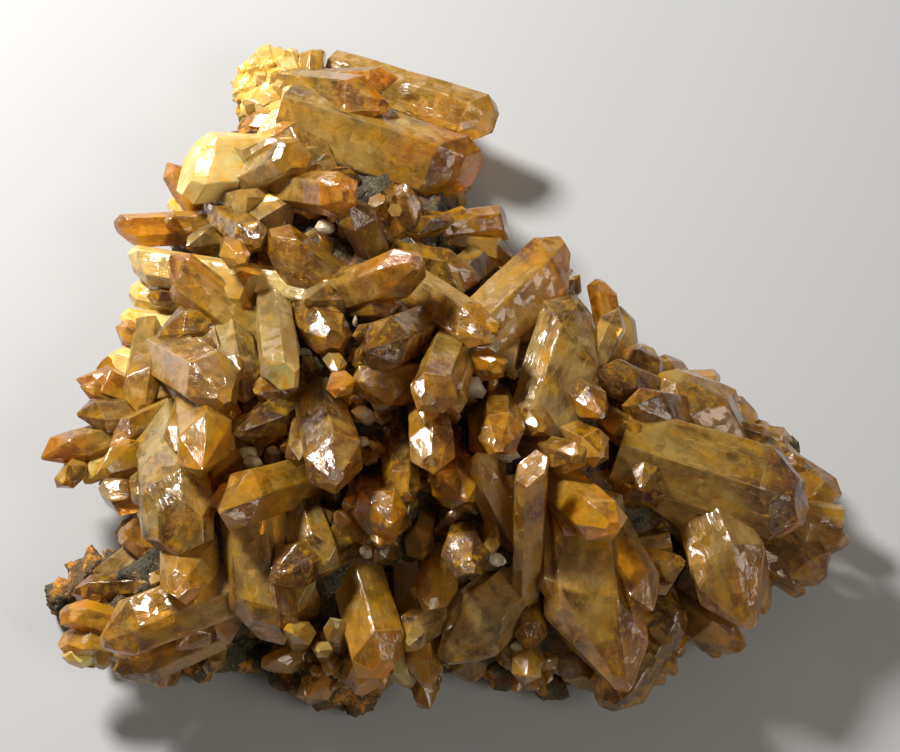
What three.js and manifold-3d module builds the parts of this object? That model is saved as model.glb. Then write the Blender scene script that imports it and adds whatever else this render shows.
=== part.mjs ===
// A cluster of honey-coloured prismatic crystals on its host rock, lying on the rock with the tips up
// and outwards.
// Millimetres, +Z up. The rock's cut underside rests on Z = 0 and the origin is in the middle of that cut.
// Two solids: the host rock, and the crystals with the crust that they grew together from.
import * as THREE from "three";
import { mergeVertices } from "three/addons/utils/BufferGeometryUtils.js";
import Module from "manifold-3d";

const wasm = await Module();
wasm.setup();

// The layout is drawn on a flat sheet that faces an eye in front of and above the cluster.
// Sheet coordinates run right and down from its top left corner.
const sheet = { width: 225, height: 188, eyeDistance: 600, eyeElevation: 68 };
const sheetMiddle = new THREE.Vector3(1.06, -9.32, 30);

// Heights above the ground, and how much larger than the rock the crust's hollow for it is.
const crust = { rim: 15, peak: 44, fall: 2.4 };
const rock = { rim: 10, peak: 26, fall: 2 };
const seamGrowth = 1.012;
const lowestCrystal = 1.2;

// How far a crystal's foot runs on below its root, how much deeper the roots lie over the heart, and the
// share of its lift in the tables that a root keeps.
const buried = 9;
const dive = 9;
const rootShare = 0.45;

// The crust's outline on the sheet. Every point of it can be seen from the heart.
const heart = [100, 102];
const outline = [
  [82, 18], [100, 19], [113, 30], [116, 48], [124, 62], [137, 66], [150, 80], [162, 90], [177, 96],
  [190, 107], [200, 118], [206, 133], [198, 143], [188, 152], [176, 160], [167, 168], [150, 174],
  [136, 171], [120, 169], [106, 172], [94, 175], [82, 173], [71, 166], [60, 164], [46, 168], [30, 168],
  [17, 160], [18, 150], [28, 143], [33, 138], [27, 125], [22, 114], [27, 104], [27, 94], [34, 82],
  [36, 72], [38, 60], [47, 51], [47, 40], [60, 30], [68, 19],
];

// Crystals round the side: how many, how far out the tips come, their height, their width.
const skirt = [
  { count: 18, reach: 1, lift: 7, wide: 10 },
  { count: 13, reach: 0.93, lift: 19, wide: 12 },
];

// Deep gaps between the crystals: sheet place, radius, depth.
const gaps = [
  [97, 147, 7, 12], [80, 121, 6, 10], [172, 149, 8, 10], [59, 102, 5, 9], [171, 129, 6, 9],
  [107, 127, 6, 8], [56, 160, 6, 5], [69, 110, 5, 8], [136, 128, 4, 6], [105, 147, 5, 8],
];

// One row for each crystal: tip on the sheet and its lift above the crust, root on the sheet and its lift,
// width, thickness share, roll about its axis in degrees (0 turns a face to the eye), bluntness of the end.
const crown = [
  [123.2, 31, 6, 90, 20.5, -4, 14, 0.8, 12, 0.6],
  [118.5, 45, 14, 79, 32, 10, 21, 0.8, 6, 0.5],
  [95.8, 25, 19, 76, 23, 14, 12.5, 0.8, 0, 0.3],
  [60.3, 23.8, 2, 68, 27, 4, 9.5, 0.9, 20, 0.6],
  [65.5, 17, 4, 72.5, 23, 5, 9, 0.9, 10, 0.6],
  [44, 42.5, 16, 66, 41.3, 13, 19, 0.8, 10, 0.7],
  [74.8, 38.5, 18, 62, 45, 15, 10.5, 0.9, 15, 0.7],
  [87.5, 48.8, 20, 71.3, 47, 14, 11.5, 0.85, 10, 0.35],
  [98.8, 47.5, 9, 100, 55.5, 4, 13, 0.9, 0, 0.3],
  [87.3, 51, 16, 93, 62, 10, 10, 0.85, 10, 0.2],
  [63.8, 60, 14, 55.5, 53.8, 8, 9, 0.8, 20, 0.3],
];

const leftFlank = [
  [28.5, 58, 8, 48, 57, 8, 9, 0.9, 10, 0.4],
  [19.3, 104.5, 12, 35, 103.8, 8, 9, 0.8, 20, 0.1],
  [30.8, 65.5, 10, 77.5, 73, 13, 10, 0.85, 10, 0.5],
  [40.5, 66, 17, 60, 80.5, 11, 11, 0.8, 5, 0.3],
  [39, 82.5, 12, 53.8, 81.3, 10, 11, 0.85, 10, 0.2],
  [19.3, 93.5, 8, 31.3, 98, 7, 9.5, 0.85, 15, 0],
  [55.3, 97, 24, 44, 90.5, 14, 15, 0.85, 15, 0.3],
  [52.3, 115.8, 26, 49.5, 98.8, 12, 15, 0.85, 5, 0],
  [10.8, 115.5, 10, 27, 110, 8, 10.5, 0.85, 5, 0.1],
  [45, 134, 16, 41.3, 112, 6, 20, 0.8, 10, 0.6],
  [24.5, 124.5, 6, 37.5, 122.5, 6, 10, 0.8, 20, 0.4],
  [54.5, 127, 24, 75, 120.5, 18, 13, 0.8, 28, 0.1],
  [28.8, 133.8, 6, 38.8, 134.5, 6, 10.5, 0.9, 10, 0.4],
  [43, 146.3, 15, 50, 136.3, 5, 15.5, 0.85, 10, 0.4],
  [14.3, 159.5, 5, 23.8, 160, 4, 9.5, 0.8, 10, 0.5],
  [24.5, 160, 12, 56.3, 147.5, 6, 13.5, 0.8, 28, 0.2],
];

const middle = [
  [67, 161.5, 15, 63, 130, 14, 15.5, 0.8, 5, 0.6],
  [68.8, 143.8, 13, 83.8, 136.3, 9, 11, 0.8, 20, 0.2],
  [80, 142.5, 9, 75, 127.5, 9, 12, 0.8, 15, 0.3],
  [84.5, 119.5, 28, 79.5, 101.3, 10, 14.5, 0.9, 12, 0.3],
  [70.3, 94.5, 26, 68.5, 78, 18, 10, 0.9, 8, 0.7],
  [60.8, 99, 14, 58, 83.8, 10, 12, 0.8, 20, 0],
  [60.8, 110.5, 12, 73.8, 99.5, 8, 11.5, 0.85, 10, 0.2],
  [84, 85, 9, 75, 78, 5, 12, 0.9, 0, 0.4],
  [65.5, 60, 12, 85, 72.5, 11, 14, 0.8, 5, 0.4],
  [78, 77, 8, 88, 72, 6, 10, 0.85, 10, 0.2],
  [104.5, 66.5, 26, 86.3, 73, 16, 12.5, 0.85, 10, 0.3],
  [113, 58, 7, 101, 56, 5, 10, 0.9, 0, 0.3],
  [120, 68.8, 9, 106.3, 66.3, 6, 10, 0.85, 15, 0.3],
  [107.5, 100, 30, 113, 85.5, 18, 11, 0.85, 8, 0.3],
  [92.8, 87.5, 22, 107, 81.3, 12, 12.5, 0.85, 20, 0],
  [122.5, 83.8, 20, 105, 73, 14, 11, 0.8, 10, 0.3],
  [90, 97, 16, 110, 95.5, 12, 10, 0.8, 20, 0.2],
  [124.8, 110.5, 24, 124.5, 102, 8, 10.5, 0.9, 5, 0.3],
  [108.3, 114.5, 24, 106.5, 101.3, 14, 11, 0.85, 25, 0.4],
  [113.8, 124.5, 20, 112.5, 113.8, 8, 10.5, 0.85, 15, 0.1],
  [95.5, 130.5, 20, 93.8, 122.5, 4, 13, 0.9, 8, 0.1],
  [109, 151.5, 14, 110, 140, 6, 10, 0.9, 0, 0.3],
  [115.8, 140, 16, 116.3, 133.8, 3, 11.5, 0.9, 10, 0.3],
  [124, 91.5, 14, 115.5, 90.5, 10, 8, 0.9, 0, 0.4],
  [118.5, 114.5, 18, 128, 132.5, 14, 9.5, 0.85, 10, 0.3],
  [133, 114.5, 24, 131.8, 143, 18, 8, 0.85, 20, 0.9],
];

const rightFlank = [
  [128.5, 55.3, 6, 113, 57, 6, 9.5, 0.9, 0, 0.9],
  [143.5, 62.5, 20, 123, 81.3, 14, 18, 0.8, 18, 0.3],
  [147, 74, 26, 137, 103.8, 14, 19, 0.8, 12, 0.3],
  [162, 85.5, 10, 160, 100, 8, 11, 0.9, 10, 0.4],
  [150.5, 93, 16, 163.8, 98, 10, 10, 0.85, 20, 0.1],
  [168, 92, 20, 177, 106, 10, 17, 0.8, 10, 0.35],
  [203, 126.3, 18, 163.8, 113.8, 16, 21, 0.75, 22, 0.5],
  [209, 126.3, 2, 196.3, 117.5, 4, 11, 0.85, 0, 0.4],
  [212.5, 136.3, 2, 200, 132.5, 4, 13, 0.85, 10, 0.3],
  [205.5, 145.5, 3, 196.3, 136.3, 4, 13, 0.85, 20, 0.3],
  [188, 155.5, 16, 178, 130, 12, 19, 0.85, 27, 0.2],
  [170.8, 140, 9, 159, 142, 6, 15, 0.85, 10, 0.2],
  [165.5, 126.3, 6, 156.3, 122.5, 6, 10, 0.9, 10, 0.3],
  [150, 103, 16, 141, 94, 12, 9, 0.8, 0, 0.2],
  [151, 113, 14, 140, 107.5, 10, 9, 0.85, 15, 0.2],
];

const foot = [
  [151.5, 173, 20, 146.3, 133.8, 16, 24, 0.75, 5, 0.2],
  [153, 132.5, 27, 140.5, 121.8, 19, 11.5, 0.9, 15, 0.3],
  [96.3, 168, 16, 90, 146.3, 8, 14, 0.8, 25, 0.4],
  [93, 174.3, 8, 93.8, 162.5, 8, 13, 0.9, 10, 0.5],
  [111.3, 163.8, 12, 126.3, 150, 6, 17, 0.8, 15, 0.3],
  [151.5, 177.3, 4, 161.3, 162.5, 4, 14, 0.85, 10, 0.4],
  [184.5, 163, 4, 174.5, 155.5, 2, 10.5, 0.9, 10, 0.4],
  [172.5, 162.5, 2, 166.3, 153.8, 2, 11, 0.9, 0, 0.3],
  [100, 160, 10, 112.5, 151.3, 6, 9, 0.85, 10, 0.3],
  [106.3, 172, 10, 105.5, 158.8, 6, 8.5, 0.9, 10, 0.3],
];

// A repeatable number from 0 to 1 for a crystal's seed and a trait of it.
function chance(seed, trait) {
  const wave = Math.sin(seed * 12.9898 + trait * 78.233) * 43758.5453;
  return wave - Math.floor(wave);
}

const elevation = THREE.MathUtils.degToRad(sheet.eyeElevation);
const toEye = new THREE.Vector3(0, -Math.cos(elevation), Math.sin(elevation));
const sheetUp = new THREE.Vector3(0, Math.sin(elevation), Math.cos(elevation));
const eye = sheetMiddle.clone().addScaledVector(toEye, sheet.eyeDistance);

// The point at a height above the ground that the eye sees at a place on the sheet.
function place(x, y, height) {
  const ray = sheetMiddle
    .clone()
    .addScaledVector(new THREE.Vector3(1, 0, 0), x - sheet.width / 2)
    .addScaledVector(sheetUp, sheet.height / 2 - y)
    .sub(eye);
  return eye.clone().addScaledVector(ray, (height - eye.z) / ray.z);
}

// Distance on the sheet from the heart to the outline, in the direction of (x, y).
function reach(x, y) {
  const dx = x - heart[0];
  const dy = y - heart[1];
  const distance = Math.hypot(dx, dy);
  if (distance < 1e-6) return outline[0][1];
  for (let i = 0; i < outline.length; i++) {
    const [ax, ay] = [outline[i][0] - heart[0], outline[i][1] - heart[1]];
    const next = outline[(i + 1) % outline.length];
    const [bx, by] = [next[0] - heart[0], next[1] - heart[1]];
    const across = dx * (by - ay) - dy * (bx - ax);
    const along = (ax * (by - ay) - ay * (bx - ax)) / across;
    const share = (ax * dy - ay * dx) / across;
    if (along > 0 && share >= -1e-9 && share <= 1 + 1e-9) return along * distance;
  }
  return distance;
}

// Share of the way from the heart to the outline, 1 outside it.
function spread(x, y) {
  return Math.min(1, Math.hypot(x - heart[0], y - heart[1]) / reach(x, y));
}

// Height of a dome over the outline: its peak over the heart, its rim along the outline.
function domeHeight(dome, x, y) {
  return dome.rim + (dome.peak - dome.rim) * (1 - spread(x, y) ** dome.fall);
}

// Height of the crust, with its deep gaps.
function crustHeight(x, y) {
  const dip = (total, [gx, gy, radius, depth]) =>
    total - depth * Math.exp(-(((x - gx) ** 2 + (y - gy) ** 2) / radius ** 2));
  return gaps.reduce(dip, domeHeight(crust, x, y));
}

// A closed body from rings of points, the first and last ring closed by a fan to their middles.
function loft(rings, firstMiddle, lastMiddle) {
  const count = rings[0].length;
  const points = [firstMiddle, ...rings.flat(), lastMiddle];
  const last = points.length - 1;
  const at = (ring, i) => 1 + ring * count + (i % count);
  const index = [];
  for (let i = 0; i < count; i++) {
    index.push(0, at(0, i + 1), at(0, i));
    index.push(last, at(rings.length - 1, i), at(rings.length - 1, i + 1));
  }
  for (let ring = 0; ring + 1 < rings.length; ring++)
    for (let i = 0; i < count; i++) {
      const [a, b] = [at(ring, i), at(ring, i + 1)];
      const [c, d] = [at(ring + 1, i), at(ring + 1, i + 1)];
      index.push(a, b, d, a, d, c);
    }
  const positions = new Float32Array(points.flatMap((p) => p.toArray()));
  return new THREE.BufferGeometry()
    .setAttribute("position", new THREE.BufferAttribute(positions, 3))
    .setIndex(index);
}

// The six corners of a crystal's section, X to the eye and Y across, fitted to its width.
function sectionCorners({ width, flat, roll, seed }) {
  const faces = [];
  for (let k = 0; k < 6; k++) {
    const angle = THREE.MathUtils.degToRad(roll + 60 * k + 7 * (chance(seed, k) - 0.5));
    const oval = Math.hypot(Math.cos(angle) * flat, Math.sin(angle));
    faces.push({ angle, inset: oval * (0.9 + 0.2 * chance(seed, k + 10)) });
  }
  const corners = faces.map((face, k) => {
    const next = faces[(k + 1) % 6];
    return new THREE.Vector2(
      face.inset * Math.sin(next.angle) - next.inset * Math.sin(face.angle),
      next.inset * Math.cos(face.angle) - face.inset * Math.cos(next.angle),
    ).divideScalar(Math.sin(next.angle - face.angle));
  });
  const across = corners.map((corner) => corner.y);
  const fit = width / (Math.max(...across) - Math.min(...across));
  return corners.map((corner) => corner.multiplyScalar(fit));
}

// Six-sided crystal along Z: a prism that mostly widens from its foot up to a slanting shoulder, lower
// towards the eye, then six faces that lean in to an apex behind the middle, cut short parallel to the
// shoulder where it is blunt.
function crystalForm(traits) {
  const { length, width, blunt, seed } = traits;
  const section = sectionCorners(traits);
  const foot = 0.78 + 0.28 * chance(seed, 20);
  const lean = 0.3 + 0.55 * chance(seed, 21);
  const leanWay = Math.PI + 2.2 * (chance(seed, 22) - 0.5);
  const [slantX, slantY] = [lean * Math.cos(leanWay), lean * Math.sin(leanWay)];
  const apexOut = 0.3 * width * chance(seed, 23);
  const apexWay = leanWay + 1.6 * (chance(seed, 24) - 0.5);
  const [apexX, apexY] = [apexOut * Math.cos(apexWay), apexOut * Math.sin(apexWay)];
  const rise = width * (0.42 + 0.26 * chance(seed, 25)) + slantX * apexX + slantY * apexY;
  const shoulder = section.map((c) => new THREE.Vector3(c.x, c.y, slantX * c.x + slantY * c.y));
  const apex = new THREE.Vector3(apexX, apexY, rise);
  const top = shoulder.map((corner) => corner.clone().lerp(apex, 1 - blunt));
  const highest = blunt > 0 ? Math.max(...top.map((p) => p.z)) : rise;
  const lift = new THREE.Vector3(0, 0, length - highest);
  const rings = [
    section.map((c) => new THREE.Vector3(c.x, c.y, 0).multiplyScalar(foot)),
    shoulder.map((corner) => corner.add(lift)),
  ];
  if (blunt > 0) rings.push(top.map((corner) => corner.add(lift)));
  const end = blunt > 0 ? middleOf(rings[2]) : apex.add(lift);
  return loft(rings, new THREE.Vector3(), end);
}

function middleOf(points) {
  return points.reduce((sum, p) => sum.add(p), new THREE.Vector3()).divideScalar(points.length);
}

// A crystal of the table in the part's frame.
function layCrystal([tipX, tipY, tipLift, rootX, rootY, rootLift, width, flat, roll, blunt]) {
  const tip = place(tipX, tipY, crustHeight(tipX, tipY) + tipLift);
  const depth = dive * (1 - spread(rootX, rootY) ** 2);
  const emerges = place(rootX, rootY, crustHeight(rootX, rootY) + rootLift * rootShare - depth);
  return standCrystal(tip, emerges, { width, flat, roll, blunt, seed: tipX * 3.1 + tipY * 1.7 });
}

// A crystal with its tip at one point, that comes out of the crust at another.
function standCrystal(tip, emerges, traits) {
  const axis = tip.clone().sub(emerges).normalize();
  const root = emerges.clone().addScaledVector(axis, -buried);
  const facing = Math.abs(axis.dot(toEye)) < 0.95 ? toEye : sheetUp;
  const front = facing.clone().addScaledVector(axis, -facing.dot(axis)).normalize();
  const side = new THREE.Vector3().crossVectors(axis, front);
  const frame = new THREE.Matrix4().makeBasis(front, side, axis).setPosition(root);
  return crystalForm({ ...traits, length: tip.distanceTo(root) }).applyMatrix4(frame);
}

// A closed mesh as a solid that can be joined and cut.
function toSolid(geometry) {
  const bare = geometry.clone();
  bare.deleteAttribute("normal");
  bare.deleteAttribute("uv");
  const merged = mergeVertices(bare, 1e-4);
  return new wasm.Manifold(
    new wasm.Mesh({
      numProp: 3,
      vertProperties: merged.attributes.position.array,
      triVerts: new Uint32Array(merged.index.array),
    }),
  );
}

// A solid as a flat-shaded geometry.
function toGeometry(solid) {
  const mesh = solid.getMesh();
  return new THREE.BufferGeometry()
    .setAttribute("position", new THREE.BufferAttribute(mesh.vertProperties, 3))
    .setIndex(new THREE.BufferAttribute(mesh.triVerts, 1));
}

// The outer shell of a solid: spaces sealed inside it, and crumbs beside it, are left out.
function outerShell(solid) {
  const mesh = solid.getMesh();
  const owner = Array.from({ length: mesh.numVert }, (_, i) => i);
  const find = (i) => {
    while (owner[i] !== i) i = owner[i] = owner[owner[i]];
    return i;
  };
  for (let t = 0; t < mesh.triVerts.length; t += 3) {
    owner[find(mesh.triVerts[t + 1])] = find(mesh.triVerts[t]);
    owner[find(mesh.triVerts[t + 2])] = find(mesh.triVerts[t]);
  }
  const sizes = new Map();
  for (const corner of mesh.triVerts) sizes.set(find(corner), (sizes.get(find(corner)) ?? 0) + 1);
  const [largest] = [...sizes].reduce((best, shell) => (shell[1] > best[1] ? shell : best));
  const kept = mesh.triVerts.filter((_, i) => find(mesh.triVerts[i - (i % 3)]) === largest);
  const used = [...new Set(kept)];
  const renumbered = new Map(used.map((corner, i) => [corner, i]));
  const points = used.flatMap((i) => [...mesh.vertProperties.subarray(3 * i, 3 * i + 3)]);
  return new wasm.Manifold(
    new wasm.Mesh({
      numProp: 3,
      vertProperties: new Float32Array(points),
      triVerts: new Uint32Array(kept.map((corner) => renumbered.get(corner))),
    }),
  );
}

// A place on the sheet at a share of the way from the heart to one of the outline's points, counted
// backwards because the outline is listed clockwise.
function towards(i, share) {
  const [x, y] = outline.at(-i);
  return [heart[0] + (x - heart[0]) * share, heart[1] + (y - heart[1]) * share];
}

// A point at a height, at a share of the way from the upright line through the heart to the rim.
function beside(i, share, height) {
  const middle = place(heart[0], heart[1], 0);
  const rim = place(...towards(i, 1), crust.rim);
  return middle.lerp(rim, share).setZ(height);
}

// Where the crust's and the rock's rings lie, as shares of the way from the heart to the outline.
const crustRings = [0.36, 0.7];
const rockRings = [0.6];

// The rock's side from the foot up: share of the way to the rim, height, roughness.
const rockSide = [
  [0.86, 0, 0],
  [0.89, 3, 0.05],
  [0.92, 6.5, 0.05],
  [0.9, 10, 0],
];

// The rock: a low dome under the crust, a rough side that draws in to the foot, and a flat cut underneath.
function rockForm() {
  const dome = rockRings.map((share) =>
    outline.map((_, i) => {
      const [x, y] = towards(i, share);
      return place(x, y, domeHeight(rock, x, y));
    }),
  );
  const side = rockSide.map(([share, height, roughness], level) =>
    outline.map((_, i) => {
      const bump = roughness * (chance(i, level) - 0.5);
      return beside(i, share + bump, height * (1 + 4 * bump));
    }),
  );
  const above = place(heart[0], heart[1], rock.peak);
  return loft([...side, ...dome], place(heart[0], heart[1], 0), above);
}

// The rock a little larger about the ground under the heart, to cut the crystals back from it.
function seamForm() {
  const middle = place(heart[0], heart[1], 0);
  const grown = rockForm().translate(-middle.x, -middle.y, 0);
  return grown.scale(seamGrowth, seamGrowth, seamGrowth).translate(middle.x, middle.y, 0);
}

// The crust that the crystals grew together from: a lumpy dome that closes on the rock.
function crustSolid() {
  const upper = crustRings.map((share) =>
    outline.map((_, i) => {
      const [x, y] = towards(i, share);
      return place(x, y, crustHeight(x, y) + 2.4 * (chance(i, share * 100) - 0.5) - 1);
    }),
  );
  const brow = outline.map((_, i) => beside(i, 0.92 + 0.04 * chance(i, 8), crust.rim));
  const edge = outline.map((_, i) => beside(i, 0.91, 5));
  const above = place(heart[0], heart[1], crustHeight(heart[0], heart[1]));
  return toSolid(loft([edge, brow, ...upper.reverse()], place(heart[0], heart[1], 5), above));
}

// Everything above the ground line that a crystal may reach down to.
function aboveGround() {
  const reachUp = 200;
  const slab = new THREE.BoxGeometry(3 * reachUp, 3 * reachUp, reachUp);
  slab.translate(0, 0, reachUp / 2 + lowestCrystal);
  return toSolid(slab);
}

// Two tiers of crystals that stand out sideways all round, under the ones in the table.
function skirtCrystals() {
  return skirt.flatMap(({ count, reach, lift, wide }, tier) =>
    Array.from({ length: count }, (_, i) => {
      const seed = 100 * tier + i;
      const spoke = Math.floor(((i + 0.5 * chance(seed, 60)) * outline.length) / count);
      const out = beside(spoke, reach - 0.05 * chance(seed, 62), lift + 5 * chance(seed, 63));
      const emerges = beside(spoke, reach - 0.28, lift + 9 + 5 * chance(seed, 64));
      const width = wide * (0.75 + 0.5 * chance(seed, 61));
      return standCrystal(out, emerges, { width, flat: 0.85, roll: 25, blunt: 0.35, seed });
    }),
  );
}

function crystalSolid() {
  const rows = [...crown, ...leftFlank, ...middle, ...rightFlank, ...foot];
  const forms = [...rows.map((row) => layCrystal(row)), ...skirtCrystals()];
  const bodies = forms.map((form) => toSolid(form));
  const grown = bodies.reduce((whole, body) => whole.add(body), crustSolid());
  return outerShell(grown.subtract(toSolid(seamForm())).intersect(aboveGround()));
}

const rockMaterial = new THREE.MeshStandardMaterial({ color: 0x4a4a3c, roughness: 0.9, metalness: 0 });
const crystalMaterial = new THREE.MeshStandardMaterial({ color: 0xc08a45, roughness: 0.25, metalness: 0 });

function named(name, solid, material) {
  const mesh = new THREE.Mesh(toGeometry(solid), material);
  mesh.name = name;
  return mesh;
}

const cluster = new THREE.Group();
cluster.add(named("host_rock", toSolid(rockForm()), rockMaterial));
cluster.add(named("crystals", crystalSolid(), crystalMaterial));

export default cluster;
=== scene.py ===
import bpy
import numpy as np
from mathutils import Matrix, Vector


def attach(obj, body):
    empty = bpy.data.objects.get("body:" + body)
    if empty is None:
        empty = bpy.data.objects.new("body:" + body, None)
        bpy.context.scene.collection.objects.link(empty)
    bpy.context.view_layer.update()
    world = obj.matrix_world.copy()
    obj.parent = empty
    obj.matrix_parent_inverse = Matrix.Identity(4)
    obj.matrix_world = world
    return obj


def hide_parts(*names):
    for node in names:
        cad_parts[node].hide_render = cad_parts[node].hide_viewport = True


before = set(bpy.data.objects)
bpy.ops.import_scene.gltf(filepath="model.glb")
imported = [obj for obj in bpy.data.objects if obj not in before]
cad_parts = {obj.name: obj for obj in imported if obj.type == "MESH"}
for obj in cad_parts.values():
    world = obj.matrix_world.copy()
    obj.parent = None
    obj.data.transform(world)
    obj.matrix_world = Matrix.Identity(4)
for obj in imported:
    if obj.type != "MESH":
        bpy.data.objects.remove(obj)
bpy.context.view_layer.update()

print("frame loaded")

# The layout sheet faces an eye in front of and above the cluster. Its coordinates run right and down
# from its top left corner, in millimetres, and are the same as the solids' own.
sheet = {"width": 225, "height": 188, "eyeDistance": 600, "eyeElevation": 68, "middle": (1.06, -9.32, 30)}

# The crust's height at the rim and over the middle, and the power by which it falls. Roots are buried
# along the crystal, dive deeper over the middle, take a share of their lift, and stay above a height.
crust = {"rim": 15, "peak": 44, "fall": 2.4}
growth = {"buried": 9, "dive": 9, "rootShare": 0.45, "lowest": 1.3}
millimetre = 0.001

# The plate's middle and its outline on the sheet, clockwise.
heart = np.array([100.0, 102.0])
outline = np.array([
    (82, 18), (100, 19), (113, 30), (116, 48), (124, 62), (137, 66), (150, 80), (162, 90), (177, 96),
    (190, 107), (200, 118), (206, 133), (198, 143), (188, 152), (176, 160), (167, 168), (150, 174),
    (136, 171), (120, 169), (106, 172), (94, 175), (82, 173), (71, 166), (60, 164), (46, 168), (30, 168),
    (17, 160), (18, 150), (28, 143), (33, 138), (27, 125), (22, 114), (27, 104), (27, 94), (34, 82),
    (36, 72), (38, 60), (47, 51), (47, 40), (60, 30), (68, 19),
], float)

# Deep gaps between the crystals: sheet place, radius, depth.
gaps = np.array([
    (97, 147, 7, 12), (80, 121, 6, 10), (172, 149, 8, 10), (59, 102, 5, 9), (171, 129, 6, 9),
    (107, 127, 6, 8), (56, 160, 6, 5), (69, 110, 5, 8), (136, 128, 4, 6), (105, 147, 5, 8),
], float)

# One row for each crystal: tip on the sheet and its lift above the crust, root on the sheet and its
# lift, width, thickness share, roll about its axis, bluntness of the end, tint.
crown = [
    (123.2, 31, 6, 90, 20.5, -4, 14, 0.8, 12, 0.6, "tan"),
    (118.5, 45, 14, 79, 32, 10, 21, 0.8, 6, 0.5, "glow"),
    (95.8, 25, 19, 76, 23, 14, 12.5, 0.8, 0, 0.3, "glow"),
    (60.3, 23.8, 2, 68, 27, 4, 9.5, 0.9, 20, 0.6, "cream"),
    (65.5, 17, 4, 72.5, 23, 5, 9, 0.9, 10, 0.6, "cream"),
    (70.5, 12.5, 4, 73.8, 21, 6, 8, 0.9, 0, 0.6, "cream"),
    (78, 12, 4, 77, 21, 6, 8, 0.9, 25, 0.8, "yellow"),
    (73.8, 21.5, 14, 74, 24.5, 6, 4.5, 0.9, 0, 0, "orange"),
    (65.5, 24, 9, 70, 24.5, 5, 8, 0.9, 0, 0.5, "cream"),
    (59, 30.5, 3, 65.5, 31.3, 4, 7, 0.9, 15, 0.4, "amber"),
    (65, 32.5, 12, 77, 29.5, 10, 9, 0.8, 25, 0.1, "cream"),
    (68.8, 34.3, 11, 77.5, 32, 9, 7, 0.8, 0, 0.2, "amber"),
    # A pale cream crystal, tinted brighter still as a painted highlight where the light falls strongest.
    (44, 42.5, 16, 66, 41.3, 13, 19, 0.8, 10, 0.7, "cream_painted_highlight"),
    (74.8, 38.5, 18, 62, 45, 15, 10.5, 0.9, 15, 0.7, "tan"),
    (41.8, 40.5, 4, 48, 52, 6, 6.5, 0.8, 20, 0.1, "orange"),
    (41.8, 50, 1, 48, 53, 2, 6, 0.9, 0, 0.3, "cream"),
    (28.5, 58, 8, 48, 57, 8, 9, 0.9, 10, 0.4, "orange"),
    (42.5, 54.5, 15, 43, 57, 8, 3.6, 0.9, 0, 0.2, "orange"),
    (59, 64.5, 20, 58.5, 60, 8, 8, 0.9, 10, 0.4, "amber"),
    (63.8, 60, 14, 55.5, 53.8, 8, 9, 0.8, 20, 0.3, "smoky"),
    (48.8, 63, 8, 55.5, 58, 5, 9, 0.8, 0, 0.2, "grey"),
    (87.5, 48.8, 20, 71.3, 47, 14, 11.5, 0.85, 10, 0.35, "glow"),
    (65.5, 51.3, 7, 72.5, 51.3, 6, 6, 0.9, 0, 0.2, "frost"),
    (75.8, 37.5, 8, 93, 47.5, -18, 6, 0.8, 0, 0.1, "grey"),
    (82.5, 42.5, 5, 92, 50, -22, 7, 0.8, 15, 0.2, "smoky"),
    (98.8, 47.5, 9, 100, 55.5, 4, 13, 0.9, 0, 0.3, "brown"),
    (87.3, 51, 16, 93, 62, 10, 10, 0.85, 10, 0.2, "brown"),
]

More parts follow.
